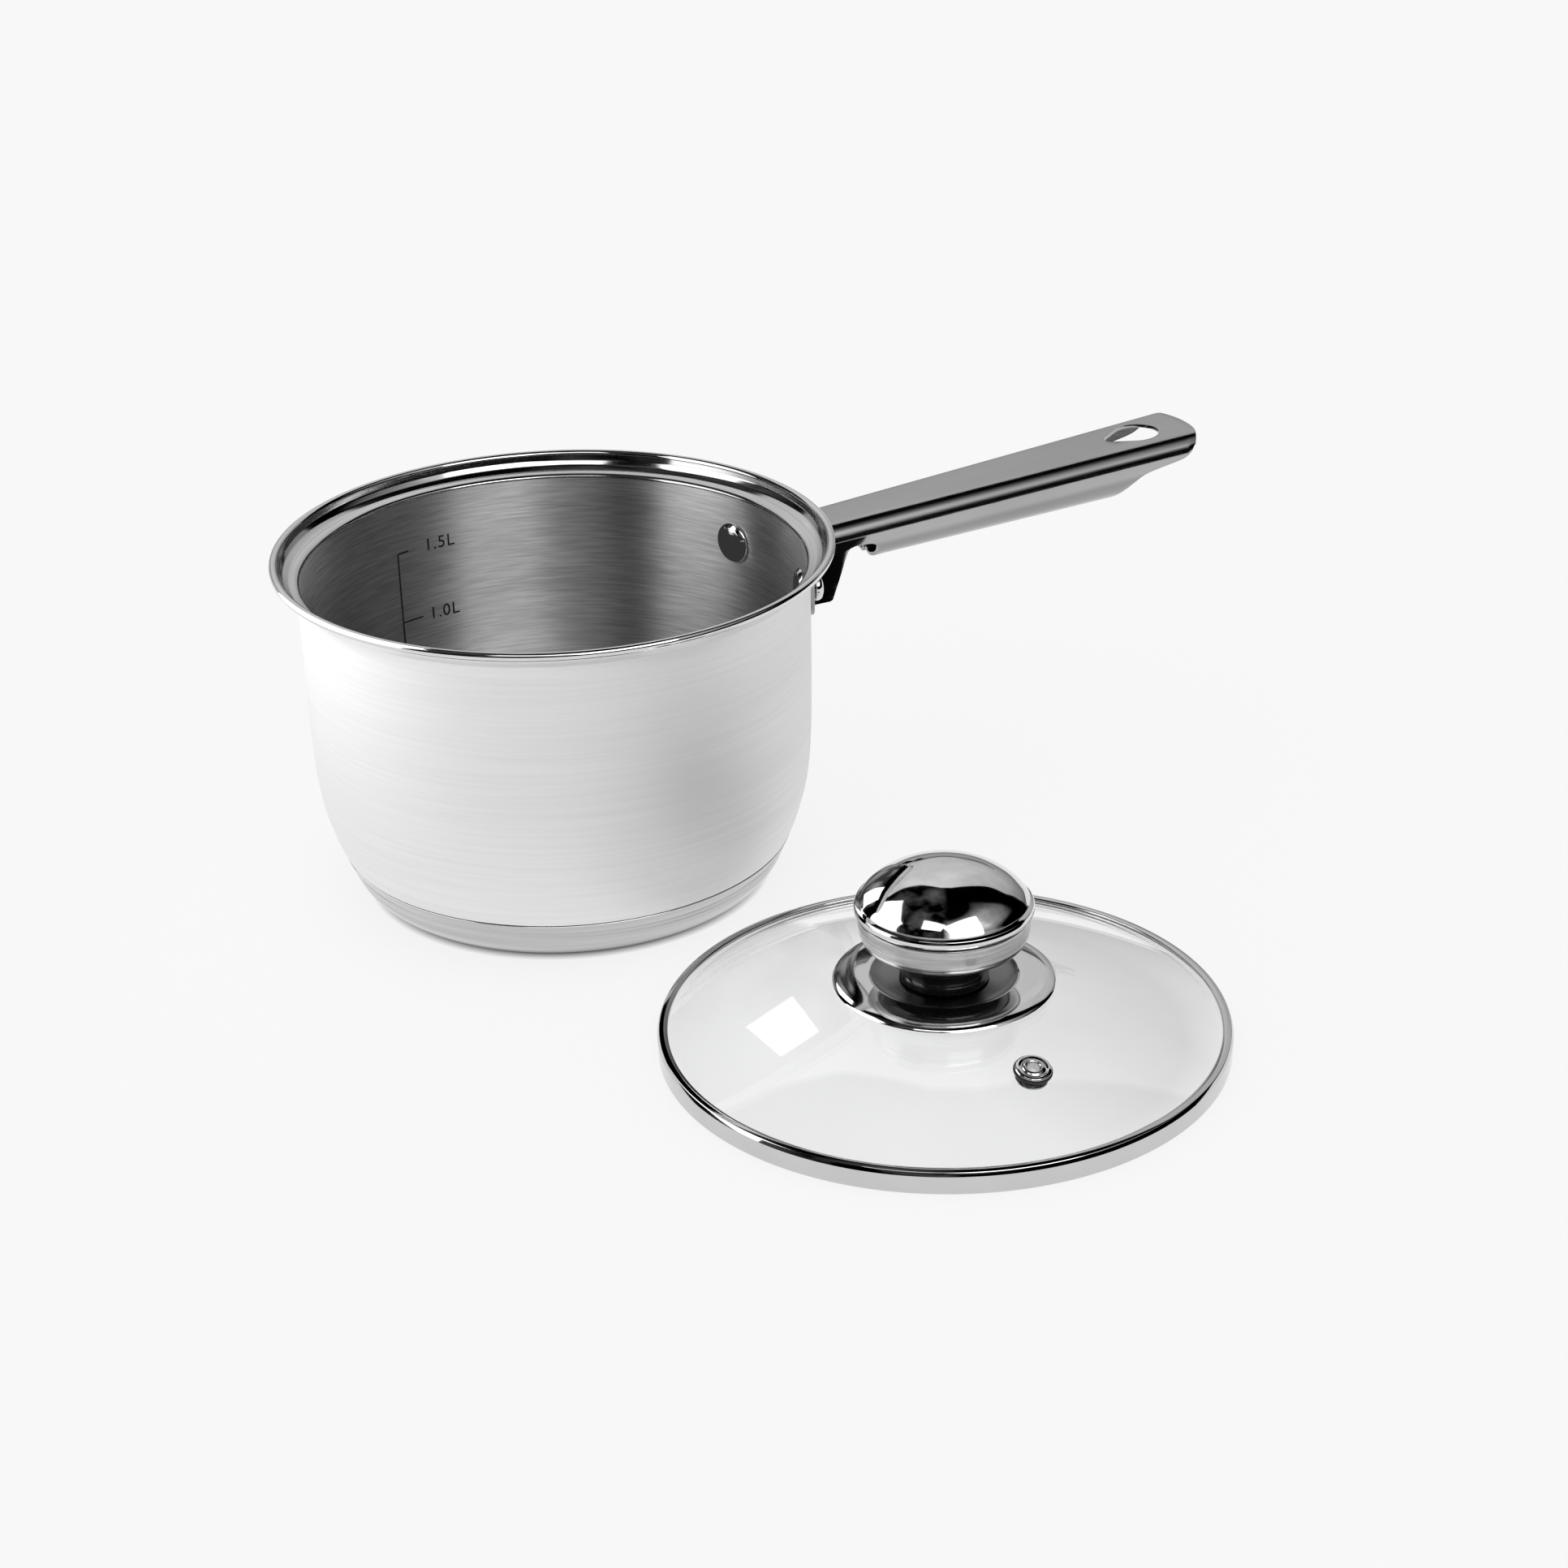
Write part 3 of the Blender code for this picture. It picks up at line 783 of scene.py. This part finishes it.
def handle():
    obj = handle_sheet()
    tools = []
    for side in (1, -1):
        flap, trim = ear(side)
        boolean(obj, flap, "UNION")
        tools += [flap, trim]
    tools.append(side_cutter("notch_cutter", notch_outline()))
    tools.append(side_cutter("sweep_cutter", sweep_outline()))
    tools.append(prism("tip_cutter", tip_outline(), 60.0, 130.0))
    tools.append(prism("hole_cutter", hole_outline(), 99.0, 130.0))
    for tool in tools[-4:]:
        boolean(obj, tool)
    edge = obj.modifiers.new("edge", "BEVEL")
    edge.width = 0.22 * MM
    edge.segments = 2
    edge.limit_method = "ANGLE"
    edge.angle_limit = math.radians(50)
    applied(obj)
    discard(tools)
    finish_mesh(obj.data, [], 30.0)
    return settle(obj, "pan", "polished_steel", "handle")


# ---------------------------------------------------------------- litre marks

MARK_LIFT = 0.05
MARK_THICK = 0.04
MARK_LINE = 0.5
LITRE_Z = {"1.5L": 88.4, "1.0L": 63.7, "0.5L": 38.9}


def inner_radius(z):
    """The radius of the inner wall at height z."""
    heights = (23.0, 33.0, 48.0, 72.0, CORNER_Z)
    return float(np.interp(z, heights, (75.2, 77.9, 79.3, 79.8, INNER_R)))


def on_wall(mesh, degrees, z):
    """Bends a flat drawing, x to its right and y up in mm, onto the inside of the wall."""
    for vertex in mesh.vertices:
        x, y, w = vertex.co
        radius = inner_radius(z + y) - MARK_LIFT - w
        angle = math.radians(degrees) - x / radius
        vertex.co = (
            radius * math.cos(angle) * MM,
            radius * math.sin(angle) * MM,
            (z + y) * MM,
        )


def mark_piece(name, mesh):
    finish_mesh(mesh, [MARK])
    obj = bpy.data.objects.new(name, mesh)
    bpy.context.scene.collection.objects.link(obj)
    return settle(obj, "pan", "satin_steel")


def bar(name, x0, x1, y0, y1, degrees, z):
    """A thin printed bar on the wall, in short pieces so that it follows the curve."""
    parts = max(1, int(max(x1 - x0, y1 - y0) / 1.5))
    wide = x1 - x0 > y1 - y0
    verts = []
    for i in range(parts + 1):
        t = i / parts
        if wide:
            x = x0 + (x1 - x0) * t
            corners = [(x, y0), (x, y1)]
        else:
            y = y0 + (y1 - y0) * t
            corners = [(x1, y), (x0, y)]
        for w in (0.0, MARK_THICK):
            verts += [(*corner, w) for corner in corners]
    faces = [(0, 1, 3, 2), tuple(4 * parts + k for k in (0, 2, 3, 1))]
    for i in range(parts):
        a, b = 4 * i, 4 * (i + 1)
        faces += [
            (a, b, b + 1, a + 1),
            (a + 2, a + 3, b + 3, b + 2),
            (a, a + 2, b + 2, b),
            (a + 1, b + 1, b + 3, a + 3),
        ]
    mesh = bpy.data.meshes.new(name)
    mesh.from_pydata(verts, [], faces)
    on_wall(mesh, degrees, z)
    return mark_piece(name, mesh)


def figure(name, text, degrees, z, height):
    """A graduation number, printed on the wall."""
    curve = bpy.data.curves.new(name, "FONT")
    curve.body = text
    curve.size = height / 0.73
    curve.extrude = MARK_THICK / 2
    curve.space_character = 1.12
    curve.align_x = "LEFT"
    curve.align_y = "CENTER"
    maker = bpy.data.objects.new(name + "_maker", curve)
    bpy.context.scene.collection.objects.link(maker)
    bpy.context.view_layer.update()
    graph = bpy.context.evaluated_depsgraph_get()
    mesh = bpy.data.meshes.new_from_object(maker.evaluated_get(graph))
    bpy.data.objects.remove(maker)
    mesh.name = name
    on_wall(mesh, degrees, z)
    return mark_piece(name, mesh)


def litre_marks():
    line_at = 106.9
    low, high = LITRE_Z["0.5L"], LITRE_Z["1.5L"]
    half = MARK_LINE / 2
    bar("litre_line", -half, half, low - high, 0.0, line_at, high)
    for text, z in LITRE_Z.items():
        reach = 4.3 if text == "1.5L" else 8.2
        name = text.replace(".", "_")
        bar(f"litre_tick_{name}", half, reach, -half, half, line_at, z)
        figure(f"litre_figure_{name}", text, 99.1, z, 4.4)


# ---------------------------------------------------------------- the lid

def dome_z(r, apex=DOME_APEX_Z, radius=DOME_R):
    return apex - radius + math.sqrt(radius * radius - r * r)


def dome_line(start, end, low, radius, count):
    return [(r, dome_z(r, low, radius)) for r in np.linspace(start, end, count)]


def on_dome(obj):
    """Puts an object turned about Z at the vent, square to the glass, z = 0 on its top."""
    angle = math.atan2(VENT.y, VENT.x)
    obj.location = LID_AT + Vector(
        (
            VENT_R * MM * math.cos(angle),
            VENT_R * MM * math.sin(angle),
            dome_z(VENT_R) * MM,
        )
    )
    obj.rotation_euler = (0.0, math.asin(VENT_R / DOME_R), angle)
    return obj


def lid_glass():
    hole = 4.2
    low = DOME_APEX_Z - GLASS
    shoulder = [(SEAT_R - 1.0, SEAT_Z), (SEAT_R + 1.5, dome_z(SEAT_R + 1.5))]
    outside = [(hole, SEAT_Z)] + smooth_path(shoulder, 3)
    outside += dome_line(31.0, 83.0, DOME_APEX_Z, DOME_R, 40)
    edge = [(83.6, 5.0), (83.7, 4.0), (83.6, 3.1), (83.0, 2.8), (80.9, 2.75)]
    inside = dome_line(78.6, 31.0, low, DOME_R - GLASS, 36)
    inside += [(SEAT_R - 0.6, SEAT_Z - GLASS), (hole, SEAT_Z - GLASS)]
    obj = turned("lid_glass_dome", one(GLASS_LOOK, outside + edge + inside), LID_AT, 256, True)
    bit = [(0, 14), (3.3, 14), (3.3, -14), (0, -14)]
    drill = on_dome(turned("vent_drill", one(GLASS_LOOK, bit), steps=48))
    boolean(obj, drill)
    applied(obj)
    discard([drill])
    obj.data.materials.clear()
    finish_mesh(obj.data, [GLASS_LOOK], 30.0)
    obj.visible_shadow = False
    obj.visible_diffuse = False
    return settle(obj, "lid", "lid_glass", "lid_glass")


def lid_band():
    profile = soften(
        [
            (81.4, 6.35),
            (81.65, 6.95),
            (82.8, 7.2),
            (84.1, 6.85),
            (LID_R, 5.7),
            (LID_R, 0.5),
            (84.4, 0.05),
            (84.0, 0.4),
            (84.0, 1.7),
            (81.8, 1.7),
            (81.8, 2.35),
            (84.0, 2.4),
            (84.0, 5.6),
            (82.8, 6.45),
        ],
        0.5,
        ring=True,
        least=8.0,
    )
    obj = turned("lid_band_steel", one(BAND_STEEL, profile), LID_AT, 256, True)
    return settle(obj, "lid", "polished_steel", "lid_rim_band")


def vent():
    low = -GLASS
    profile = soften(
        [
            (1.95, 1.75),
            (2.4, 2.1),
            (3.0, 1.9),
            (3.5, 1.45),
            (4.3, 1.75),
            (5.0, 1.65),
            (5.35, 1.3),
            (5.2, 0.95),
            (2.9, 0.95),
            (2.9, low - 0.4),
            (4.7, low - 0.6),
            (4.7, low - 1.1),
            (1.95, low - 1.2),
        ],
        0.45,
        ring=True,
        least=8.0,
    )
    eyelet = on_dome(turned("vent_eyelet_steel", one(MIRROR, profile), steps=96, ring=True))
    settle(eyelet, "lid", "polished_steel", "vent_eyelet")
    ring = soften([(3.3, 0.85), (5.65, 0.85), (5.65, 0.1), (3.3, 0.1)], 0.25, ring=True)
    gasket = on_dome(turned("vent_gasket_silicone", one(RUBBER, ring), steps=96, ring=True))
    settle(gasket, "lid", "black_silicone", "vent_gasket")


def knob():
    dish = [(4.0, 21.2), (15.8, 21.2)]
    dish += smooth_path([(15.8, 21.2), (18.6, 21.5), (20.6, 22.1), (21.7, 22.7)])
    ring = smooth_path(
        [
            (21.7, 22.7),
            (22.4, 22.9),
            (24.0, 22.86),
            (27.0, 22.68),
            (29.4, 22.4),
            (31.0, 22.0),
            (32.1, 21.55),
            (32.6, 21.15),
        ]
    )
    ring += [(32.8, 20.85), (32.4, 20.5), (29.0, 21.3), (24.8, 22.1)]
    ring += [(22.0, 22.1), (19.2, 20.8), (4.0, 20.7)]
    # the dish carries the painted shade under the cup
    zones = [(DISH_STEEL_PAINTED_SHADE, dish), (MIRROR, ring)]
    obj = turned("knob_flange_steel", zones, LID_AT, ring=True)
    settle(obj, "lid", "polished_steel", "knob_flange")

    neck = [(3.2, 32.6), (20.2, 32.7)]
    neck += smooth_path(
        [
            (20.2, 32.7),
            (19.4, 31.6),
            (17.6, 30.0),
            (14.2, 28.0),
            (11.6, 25.8),
            (10.8, 23.8),
            (11.6, 22.4),
            (13.2, 21.8),
        ]
    )
    neck += [(3.2, 21.8)]
    obj = turned("knob_neck_black", one(BLACK, soften(neck, 0.3, ring=True)), LID_AT, 128, True)
    settle(obj, "lid", "black_plastic", "knob_neck")

    cup = [(3.2, 33.8), (20.6, 33.8), (23.2, 35.8), (24.2, 42.7)]
    cup += [(25.2, 42.7), (25.3, 42.2), (25.25, 40.0)]
    cup += smooth_path([(25.25, 40.0), (25.05, 38.0), (24.75, 36.6), (24.55, 36.1)])
    cup += [(23.95, 35.85), (24.3, 35.4)]
    cup += smooth_path([(24.3, 35.4), (23.7, 34.4), (22.4, 33.5), (20.4, 32.95)])
    cup += [(3.2, 32.9)]
    obj = turned("knob_cup_steel", one(CUP_STEEL, soften(cup, 0.3, ring=True)), LID_AT, ring=True)
    settle(obj, "lid", "satin_steel", "knob_cup")

    crown = [(0.0, 57.9), (7.0, 57.35), (13.5, 55.7), (19.0, 52.9), (22.9, 49.7), (24.9, 47.1)]
    crown = smooth_path(crown, 8)
    bead = [(24.9, 47.1), (24.55, 46.75), (25.15, 46.5), (25.9, 46.1), (26.25, 45.3)]
    bead += [(26.25, 44.3), (25.9, 43.6), (25.3, 43.4)]
    under = [(24.2, 43.4), (22.6, 47.2), (19.4, 50.6), (14.0, 53.8), (0.0, 56.2)]
    profile = crown + soften(bead, 0.4, least=6.0) + under
    obj = turned("knob_cap_steel", one(MIRROR, profile), LID_AT)
    settle(obj, "lid", "polished_steel", "knob_cap")


def inner_pieces():
    """What stays of the CAD frame keeps its shape and gets its own material."""
    looks = {
        "base_core": ALUMINIUM,
        "flange_gasket": RUBBER,
        "knob_insert": BRASS,
        "knob_screw": SCREW_STEEL,
        "screw_washer": SCREW_STEEL,
        "screw_gasket": RUBBER,
    }
    for name, mat in looks.items():
        mesh = frame["nodes"][name].data
        mesh.materials.clear()
        mesh.materials.append(mat)
        mesh.shade_smooth()
        mesh.set_sharp_from_angle(angle=math.radians(30))


# ---------------------------------------------------------------- studio

CAMERA_AT = (-0.3771007, -0.8672723, 0.4767112)
CAMERA_TURN = (64.50298, 1.25338, -28.39802)
CAMERA_LENS = 73.5142
KNOB_AT = (46.6, -161.3, 57.0)

# The way the camera looks, in degrees from +X, and how bright the surround is to it
FAR = 62.19966
PAPER = 0.939

# The floor's glow. It stops under the pan and a few mm past its foot, a painted contact shadow,
# and is lower in the right half of the ground under the lid, a painted shadow of the knob:
# distances from the pan's and the lid's middles, and places along X, in mm
GLOW = 0.805
PAINTED_PAN_SHADOW_EDGE = (61.5, 66.5)
SHADE = 0.30
SHADE_REACH = (84.0, 70.0)
SHADE_X = (40.0, 105.0)

# The card round the pan, a painted reflection of a polished pan wall, in degrees and mm: its ends,
# its height, where its grey part begins and stops, and its one bright bar, a painted glint (from,
# to, low, high, radiance)
WALL_CARD_R = 84.0
WALL_CARD_ENDS = (-150.0, -15.0)
WALL_CARD_Z = (16.5, 104.0)
WALL_GREY = 0.34
WALL_GREY_FROM = (-100.0, -88.0)
WALL_GREY_TOP = (90.0, 84.0)
PAINTED_WALL_GLINT = (-93.0, -75.0, 52.0, 93.0, 3.0)


def direction(azimuth, elevation):
    """A unit vector, from degrees anticlockwise from +X and degrees up."""
    a, e = math.radians(azimuth), math.radians(elevation)
    return Vector((math.cos(a) * math.cos(e), math.sin(a) * math.cos(e), math.sin(e)))


def camera():
    data = bpy.data.cameras.new("camera")
    data.lens = CAMERA_LENS
    data.sensor_width = 36.0
    data.clip_start = 0.05
    data.clip_end = 50.0
    obj = bpy.data.objects.new("camera", data)
    obj.location = CAMERA_AT
    obj.rotation_euler = [math.radians(a) for a in CAMERA_TURN]
    bpy.context.scene.collection.objects.link(obj)
    bpy.context.scene.camera = obj


def softbox(name, place, aim, width, height, radiance):
    """A flat lamp, in mm, that only shows in what reflects it."""
    data = bpy.data.lights.new(name, "AREA")
    data.shape = "RECTANGLE"
    data.size = width * MM
    data.size_y = height * MM
    data.energy = radiance * data.size * data.size_y * math.pi
    obj = bpy.data.objects.new(name, data)
    obj.location = Vector(place) * MM
    away = Vector(place) - Vector(aim)
    obj.rotation_euler = away.to_track_quat("Z", "Y").to_euler()
    obj.visible_camera = False
    obj.visible_diffuse = False
    bpy.context.scene.collection.objects.link(obj)


def painted_wall_reflection(tree):
    """How bright the card round the pan is, as a painted reflection of a polished wall: grey
    clouds on its right part, and one bar, a painted glint of a lamp.
    """
    place = node(tree, "ShaderNodeTexCoord")
    split = node(tree, "ShaderNodeSeparateXYZ")
    tree.links.new(place.outputs["Object"], split.inputs[0])
    angle = maths(tree, "ARCTAN2", split.outputs["Y"], split.outputs["X"])
    height = split.outputs["Z"]
    noise = straight_noise(tree, (45.0, 45.0, 45.0), 2.0)
    cloud = spread(tree, noise, 0.15 * WALL_GREY, WALL_GREY, 0.38, 0.62)
    low = ramp(tree, height, *(z * MM for z in WALL_GREY_TOP))
    rightward = ramp(tree, angle, *(math.radians(a) for a in WALL_GREY_FROM))
    grey = maths(tree, "MULTIPLY", maths(tree, "MULTIPLY", cloud, low), rightward)

    # the bar: a painted glint
    a0, a1, z0, z1, radiance = PAINTED_WALL_GLINT
    a0, a1, soft = math.radians(a0), math.radians(a1), math.radians(0.5)
    z0, z1, rim = z0 * MM, z1 * MM, 1.0 * MM
    across = maths(
        tree,
        "MULTIPLY",
        ramp(tree, angle, a0, a0 + soft),
        ramp(tree, angle, a1, a1 - soft),
    )
    upward = maths(
        tree,
        "MULTIPLY",
        ramp(tree, height, z0, z0 + rim),
        ramp(tree, height, z1, z1 - rim),
    )
    strip = maths(tree, "MULTIPLY", across, upward)
    return maths(tree, "ADD", maths(tree, "MULTIPLY", strip, radiance), grey)


def card(name, points, faces, base=0.0, light=None):
    """A dark card that shows only in first reflections, and only to rays that meet its
    front. base is how bright it is, or light makes a socket that says it spot by spot."""
    mesh = bpy.data.meshes.new(name)
    mesh.from_pydata([tuple(v * MM for v in p) for p in points], [], faces)
    made = bpy.data.materials.new(name + "_cloth")
    made.use_nodes = True
    tree = made.node_tree
    tree.nodes.clear()
    out = node(tree, "ShaderNodeOutputMaterial")
    side = node(tree, "ShaderNodeNewGeometry")
    clear = node(tree, "ShaderNodeBsdfTransparent")
    front = node(tree, "ShaderNodeEmission")
    front.inputs["Strength"].default_value = 1.0
    front.inputs["Color"].default_value = (base, base, base, 1.0)
    if light:
        tree.links.new(light(tree), front.inputs["Color"])
    mix = node(tree, "ShaderNodeMixShader")
    path = node(tree, "ShaderNodeLightPath")
    later = maths(tree, "GREATER_THAN", path.outputs["Glossy Depth"], 1.5)
    gone = maths(tree, "MAXIMUM", side.outputs["Backfacing"], later)
    tree.links.new(gone, mix.inputs[0])
    tree.links.new(front.outputs[0], mix.inputs[1])
    tree.links.new(clear.outputs[0], mix.inputs[2])
    tree.links.new(mix.outputs[0], out.inputs["Surface"])
    mesh.materials.append(made)
    obj = bpy.data.objects.new(name, mesh)
    obj.visible_camera = False
    obj.visible_diffuse = False
    obj.visible_shadow = False
    obj.visible_transmission = False
    bpy.context.scene.collection.objects.link(obj)


def round_card(path, start, end, steps=96):
    """The points and faces of a strip along a path of (r, z) in mm, swept round the pan from
    start to end in degrees. A path that climbs has its front outward."""
    points = []
    for a in np.radians(np.linspace(start, end, steps + 1)):
        for r, z in path:
            points.append((r * math.cos(a), r * math.sin(a), z))
    count = len(path)
    faces = []
    for i in range(steps):
        for j in range(count - 1):
            k = i * count + j
            faces.append((k, k + count, k + count + 1, k + 1))
    return points, faces


def cards():
    """One keeps the floor's light off the handle's side plate. One stands round the pan and gives
    the lid a painted reflection: the dark image, with a bright painted glint, of a polished wall.
    One lines the pan with a faint glow, a painted dim reflection, and keeps its walls out of each
    other's reflections."""
    x0, x1, z0, z1, y = 86.0, 112.0, 58.0, 97.0, -26.0
    card("plate_card", [(x0, y, z0), (x0, y, z1), (x1, y, z1), (x1, y, z0)], [(0, 1, 2, 3)])
    wall = [(WALL_CARD_R, z) for z in WALL_CARD_Z]
    card("wall_card", *round_card(wall, *WALL_CARD_ENDS), light=painted_wall_reflection)
    lining = [(79.0, 104.0), (79.0, 47.0), (74.0, 29.0), (60.0, 15.0), (1.0, 13.0)]
    card("inner_card", *round_card(lining, -180.0, 180.0), base=0.045)


def floor():
    size = 12.0
    mesh = bpy.data.meshes.new("floor")
    corners = [(-size, -size, 0), (size, -size, 0), (size, size, 0), (-size, size, 0)]
    mesh.from_pydata(corners, [], [(0, 1, 2, 3)])
    made, tree, shader = new_material("floor_paper", roughness=0.9, colour=(0.19, 0.19, 0.19))
    shader.inputs["Specular IOR Level"].default_value = 0.0
    shader.inputs["Emission Color"].default_value = (1.0, 1.0, 1.0, 1.0)
    place = node(tree, "ShaderNodeTexCoord")
    split = node(tree, "ShaderNodeSeparateXYZ")
    tree.links.new(place.outputs["Object"], split.inputs[0])

    def reach(x, y):
        """How far a spot of the floor is from (x, y), in metres."""
        across = maths(tree, "POWER", maths(tree, "SUBTRACT", split.outputs["X"], x), 2.0)
        along = maths(tree, "POWER", maths(tree, "SUBTRACT", split.outputs["Y"], y), 2.0)
        return maths(tree, "SQRT", maths(tree, "ADD", across, along))

    # painted contact shadow: the glow fades in over a few mm past the pan's foot
    past_painted_pan_shadow = ramp(tree, reach(0.0, 0.0), *(r * MM for r in PAINTED_PAN_SHADOW_EDGE))
    glow = maths(tree, "MULTIPLY", past_painted_pan_shadow, GLOW)
    # painted shadow of the knob: the glow is lower in the right half of the ground under the lid
    under_lid = ramp(tree, reach(LID_AT.x, LID_AT.y), *(r * MM for r in SHADE_REACH))
    rightward = ramp(tree, split.outputs["X"], *(x * MM for x in SHADE_X))
    painted_shade = maths(tree, "MULTIPLY", under_lid, rightward)
    glow = maths(tree, "MULTIPLY", glow, maths(tree, "MULTIPLY_ADD", painted_shade, -SHADE, 1.0))
    tree.links.new(glow, shader.inputs["Emission Strength"])
    grain = straight_noise(tree, (400.0, 400.0, 400.0), 2.0)
    bumped(tree, shader, grain, 0.00002)
    mesh.materials.append(made)
    obj = bpy.data.objects.new("floor", mesh)
    bpy.context.scene.collection.objects.link(obj)


def world():
    """A pale surround to the camera, and a studio to the metal: a lit sheet behind the
    object, black beside it, and a dim room in front."""
    made = bpy.data.worlds.new("studio")
    bpy.context.scene.world = made
    made.use_nodes = True
    tree = made.node_tree
    tree.nodes.clear()
    out = node(tree, "ShaderNodeOutputWorld")
    where = node(tree, "ShaderNodeTexCoord")
    turn = node(tree, "ShaderNodeVectorRotate", rotation_type="Z_AXIS")
    turn.inputs["Angle"].default_value = -math.radians(FAR)
    tree.links.new(where.outputs["Generated"], turn.inputs["Vector"])
    split = node(tree, "ShaderNodeSeparateXYZ")
    tree.links.new(turn.outputs[0], split.inputs[0])
    far, left, up = split.outputs["X"], split.outputs["Y"], split.outputs["Z"]

    def clouds(scale, low, high, start, end):
        noise = node(tree, "ShaderNodeTexNoise")
        noise.inputs["Scale"].default_value = scale
        noise.inputs["Detail"].default_value = 4.0
        tree.links.new(turn.outputs[0], noise.inputs["Vector"])
        return spread(tree, noise.outputs["Fac"], low, high, start, end)

    # The lit sheet: an upright plane behind the object, lower towards its sides
    ahead = maths(tree, "MAXIMUM", far, 0.001)
    side = maths(tree, "DIVIDE", left, ahead)
    rise = maths(tree, "DIVIDE", up, ahead)
    right_top = maths(tree, "MULTIPLY_ADD", side, 0.93, 1.95)
    middle_top = maths(tree, "MULTIPLY_ADD", side, -1.3, 1.76)
    left_top = maths(tree, "MULTIPLY_ADD", side, -0.2, 1.42)
    top = maths(tree, "MINIMUM", right_top, maths(tree, "MAXIMUM", middle_top, left_top))
    top = maths(tree, "MINIMUM", top, 1.76)
    inside = ramp(tree, maths(tree, "SUBTRACT", top, rise), 0.0, 0.04)
    inside = maths(tree, "MULTIPLY", inside, ramp(tree, maths(tree, "ABSOLUTE", side), 1.18, 1.10))
    sheet = maths(tree, "MULTIPLY", inside, ramp(tree, far, 0.0, 0.02))
    light = spread(tree, side, 0.50, 0.86, -1.0, -0.1)
    light = maths(tree, "MULTIPLY", light, clouds(3.0, 0.82, 1.0, 0.4, 0.6))
    light = maths(tree, "MULTIPLY", light, ramp(tree, up, -0.15, 0.42))

    # The room: a glow at mid height in the right front, smoky at the left, else black
    squares = maths(tree, "ADD", maths(tree, "POWER", far, 2.0), maths(tree, "POWER", left, 2.0))
    flat = maths(tree, "SQRT", squares)
    facing = maths(tree, "DIVIDE", far, maths(tree, "MAXIMUM", flat, 0.001))
    right = spread(tree, facing, 0.90, 0.08, -0.56, 0.38)
    right = maths(tree, "MULTIPLY", right, ramp(tree, facing, 0.42, 0.36))
    right = maths(tree, "MULTIPLY", right, ramp(tree, up, 0.94, 0.82))
    right = maths(tree, "MULTIPLY", right, ramp(tree, up, 0.42, 0.62))
    right = maths(tree, "MULTIPLY", right, clouds(3.5, 0.7, 1.1, 0.4, 0.6))
    room = mixed(tree, ramp(tree, left, -0.05, 0.05), right, clouds(2.6, 0.0, 0.17, 0.42, 0.75))
    room = maths(tree, "MULTIPLY", room, ramp(tree, up, 0.02, 0.40))
    glow = mixed(tree, sheet, room, light)

    seen = node(tree, "ShaderNodeBackground")
    tree.links.new(glow, seen.inputs["Color"])
    path = node(tree, "ShaderNodeLightPath")
    plain = node(tree, "ShaderNodeBackground")
    plain.inputs["Color"].default_value = (1.0, 1.0, 1.0, 1.0)
    strength = spread(tree, path.outputs["Is Camera Ray"], 0.72, PAPER, 0.0, 1.0)
    tree.links.new(strength, plain.inputs["Strength"])
    pale = maths(tree, "MAXIMUM", path.outputs["Is Camera Ray"], path.outputs["Is Diffuse Ray"])
    mix = node(tree, "ShaderNodeMixShader")
    tree.links.new(pale, mix.inputs[0])
    tree.links.new(seen.outputs[0], mix.inputs[1])
    tree.links.new(plain.outputs[0], mix.inputs[2])
    tree.links.new(mix.outputs[0], out.inputs["Surface"])


def studio():
    floor()
    world()
    cards()
    softbox("left_box", (-325.0, 35.0, 310.0), (-90.0, -332.0, 310.0), 436.0, 500.0, 1.8)
    over_right = Vector(KNOB_AT) + 1000.0 * direction(-87.0, 49.0)
    softbox("right_box", over_right, KNOB_AT, 700.0, 560.0, 2.8)
    over_front = Vector(KNOB_AT) + 1000.0 * direction(-142.0, 56.0)
    softbox("front_box", over_front, KNOB_AT, 390.0, 320.0, 1.8)
    bpy.context.scene.view_settings.view_transform = "Standard"


# ---------------------------------------------------------------- assembly

camera()
pan_body()
base_cap()
rivets()
handle()
litre_marks()
lid_glass()
lid_band()
vent()
knob()
inner_pieces()
studio()
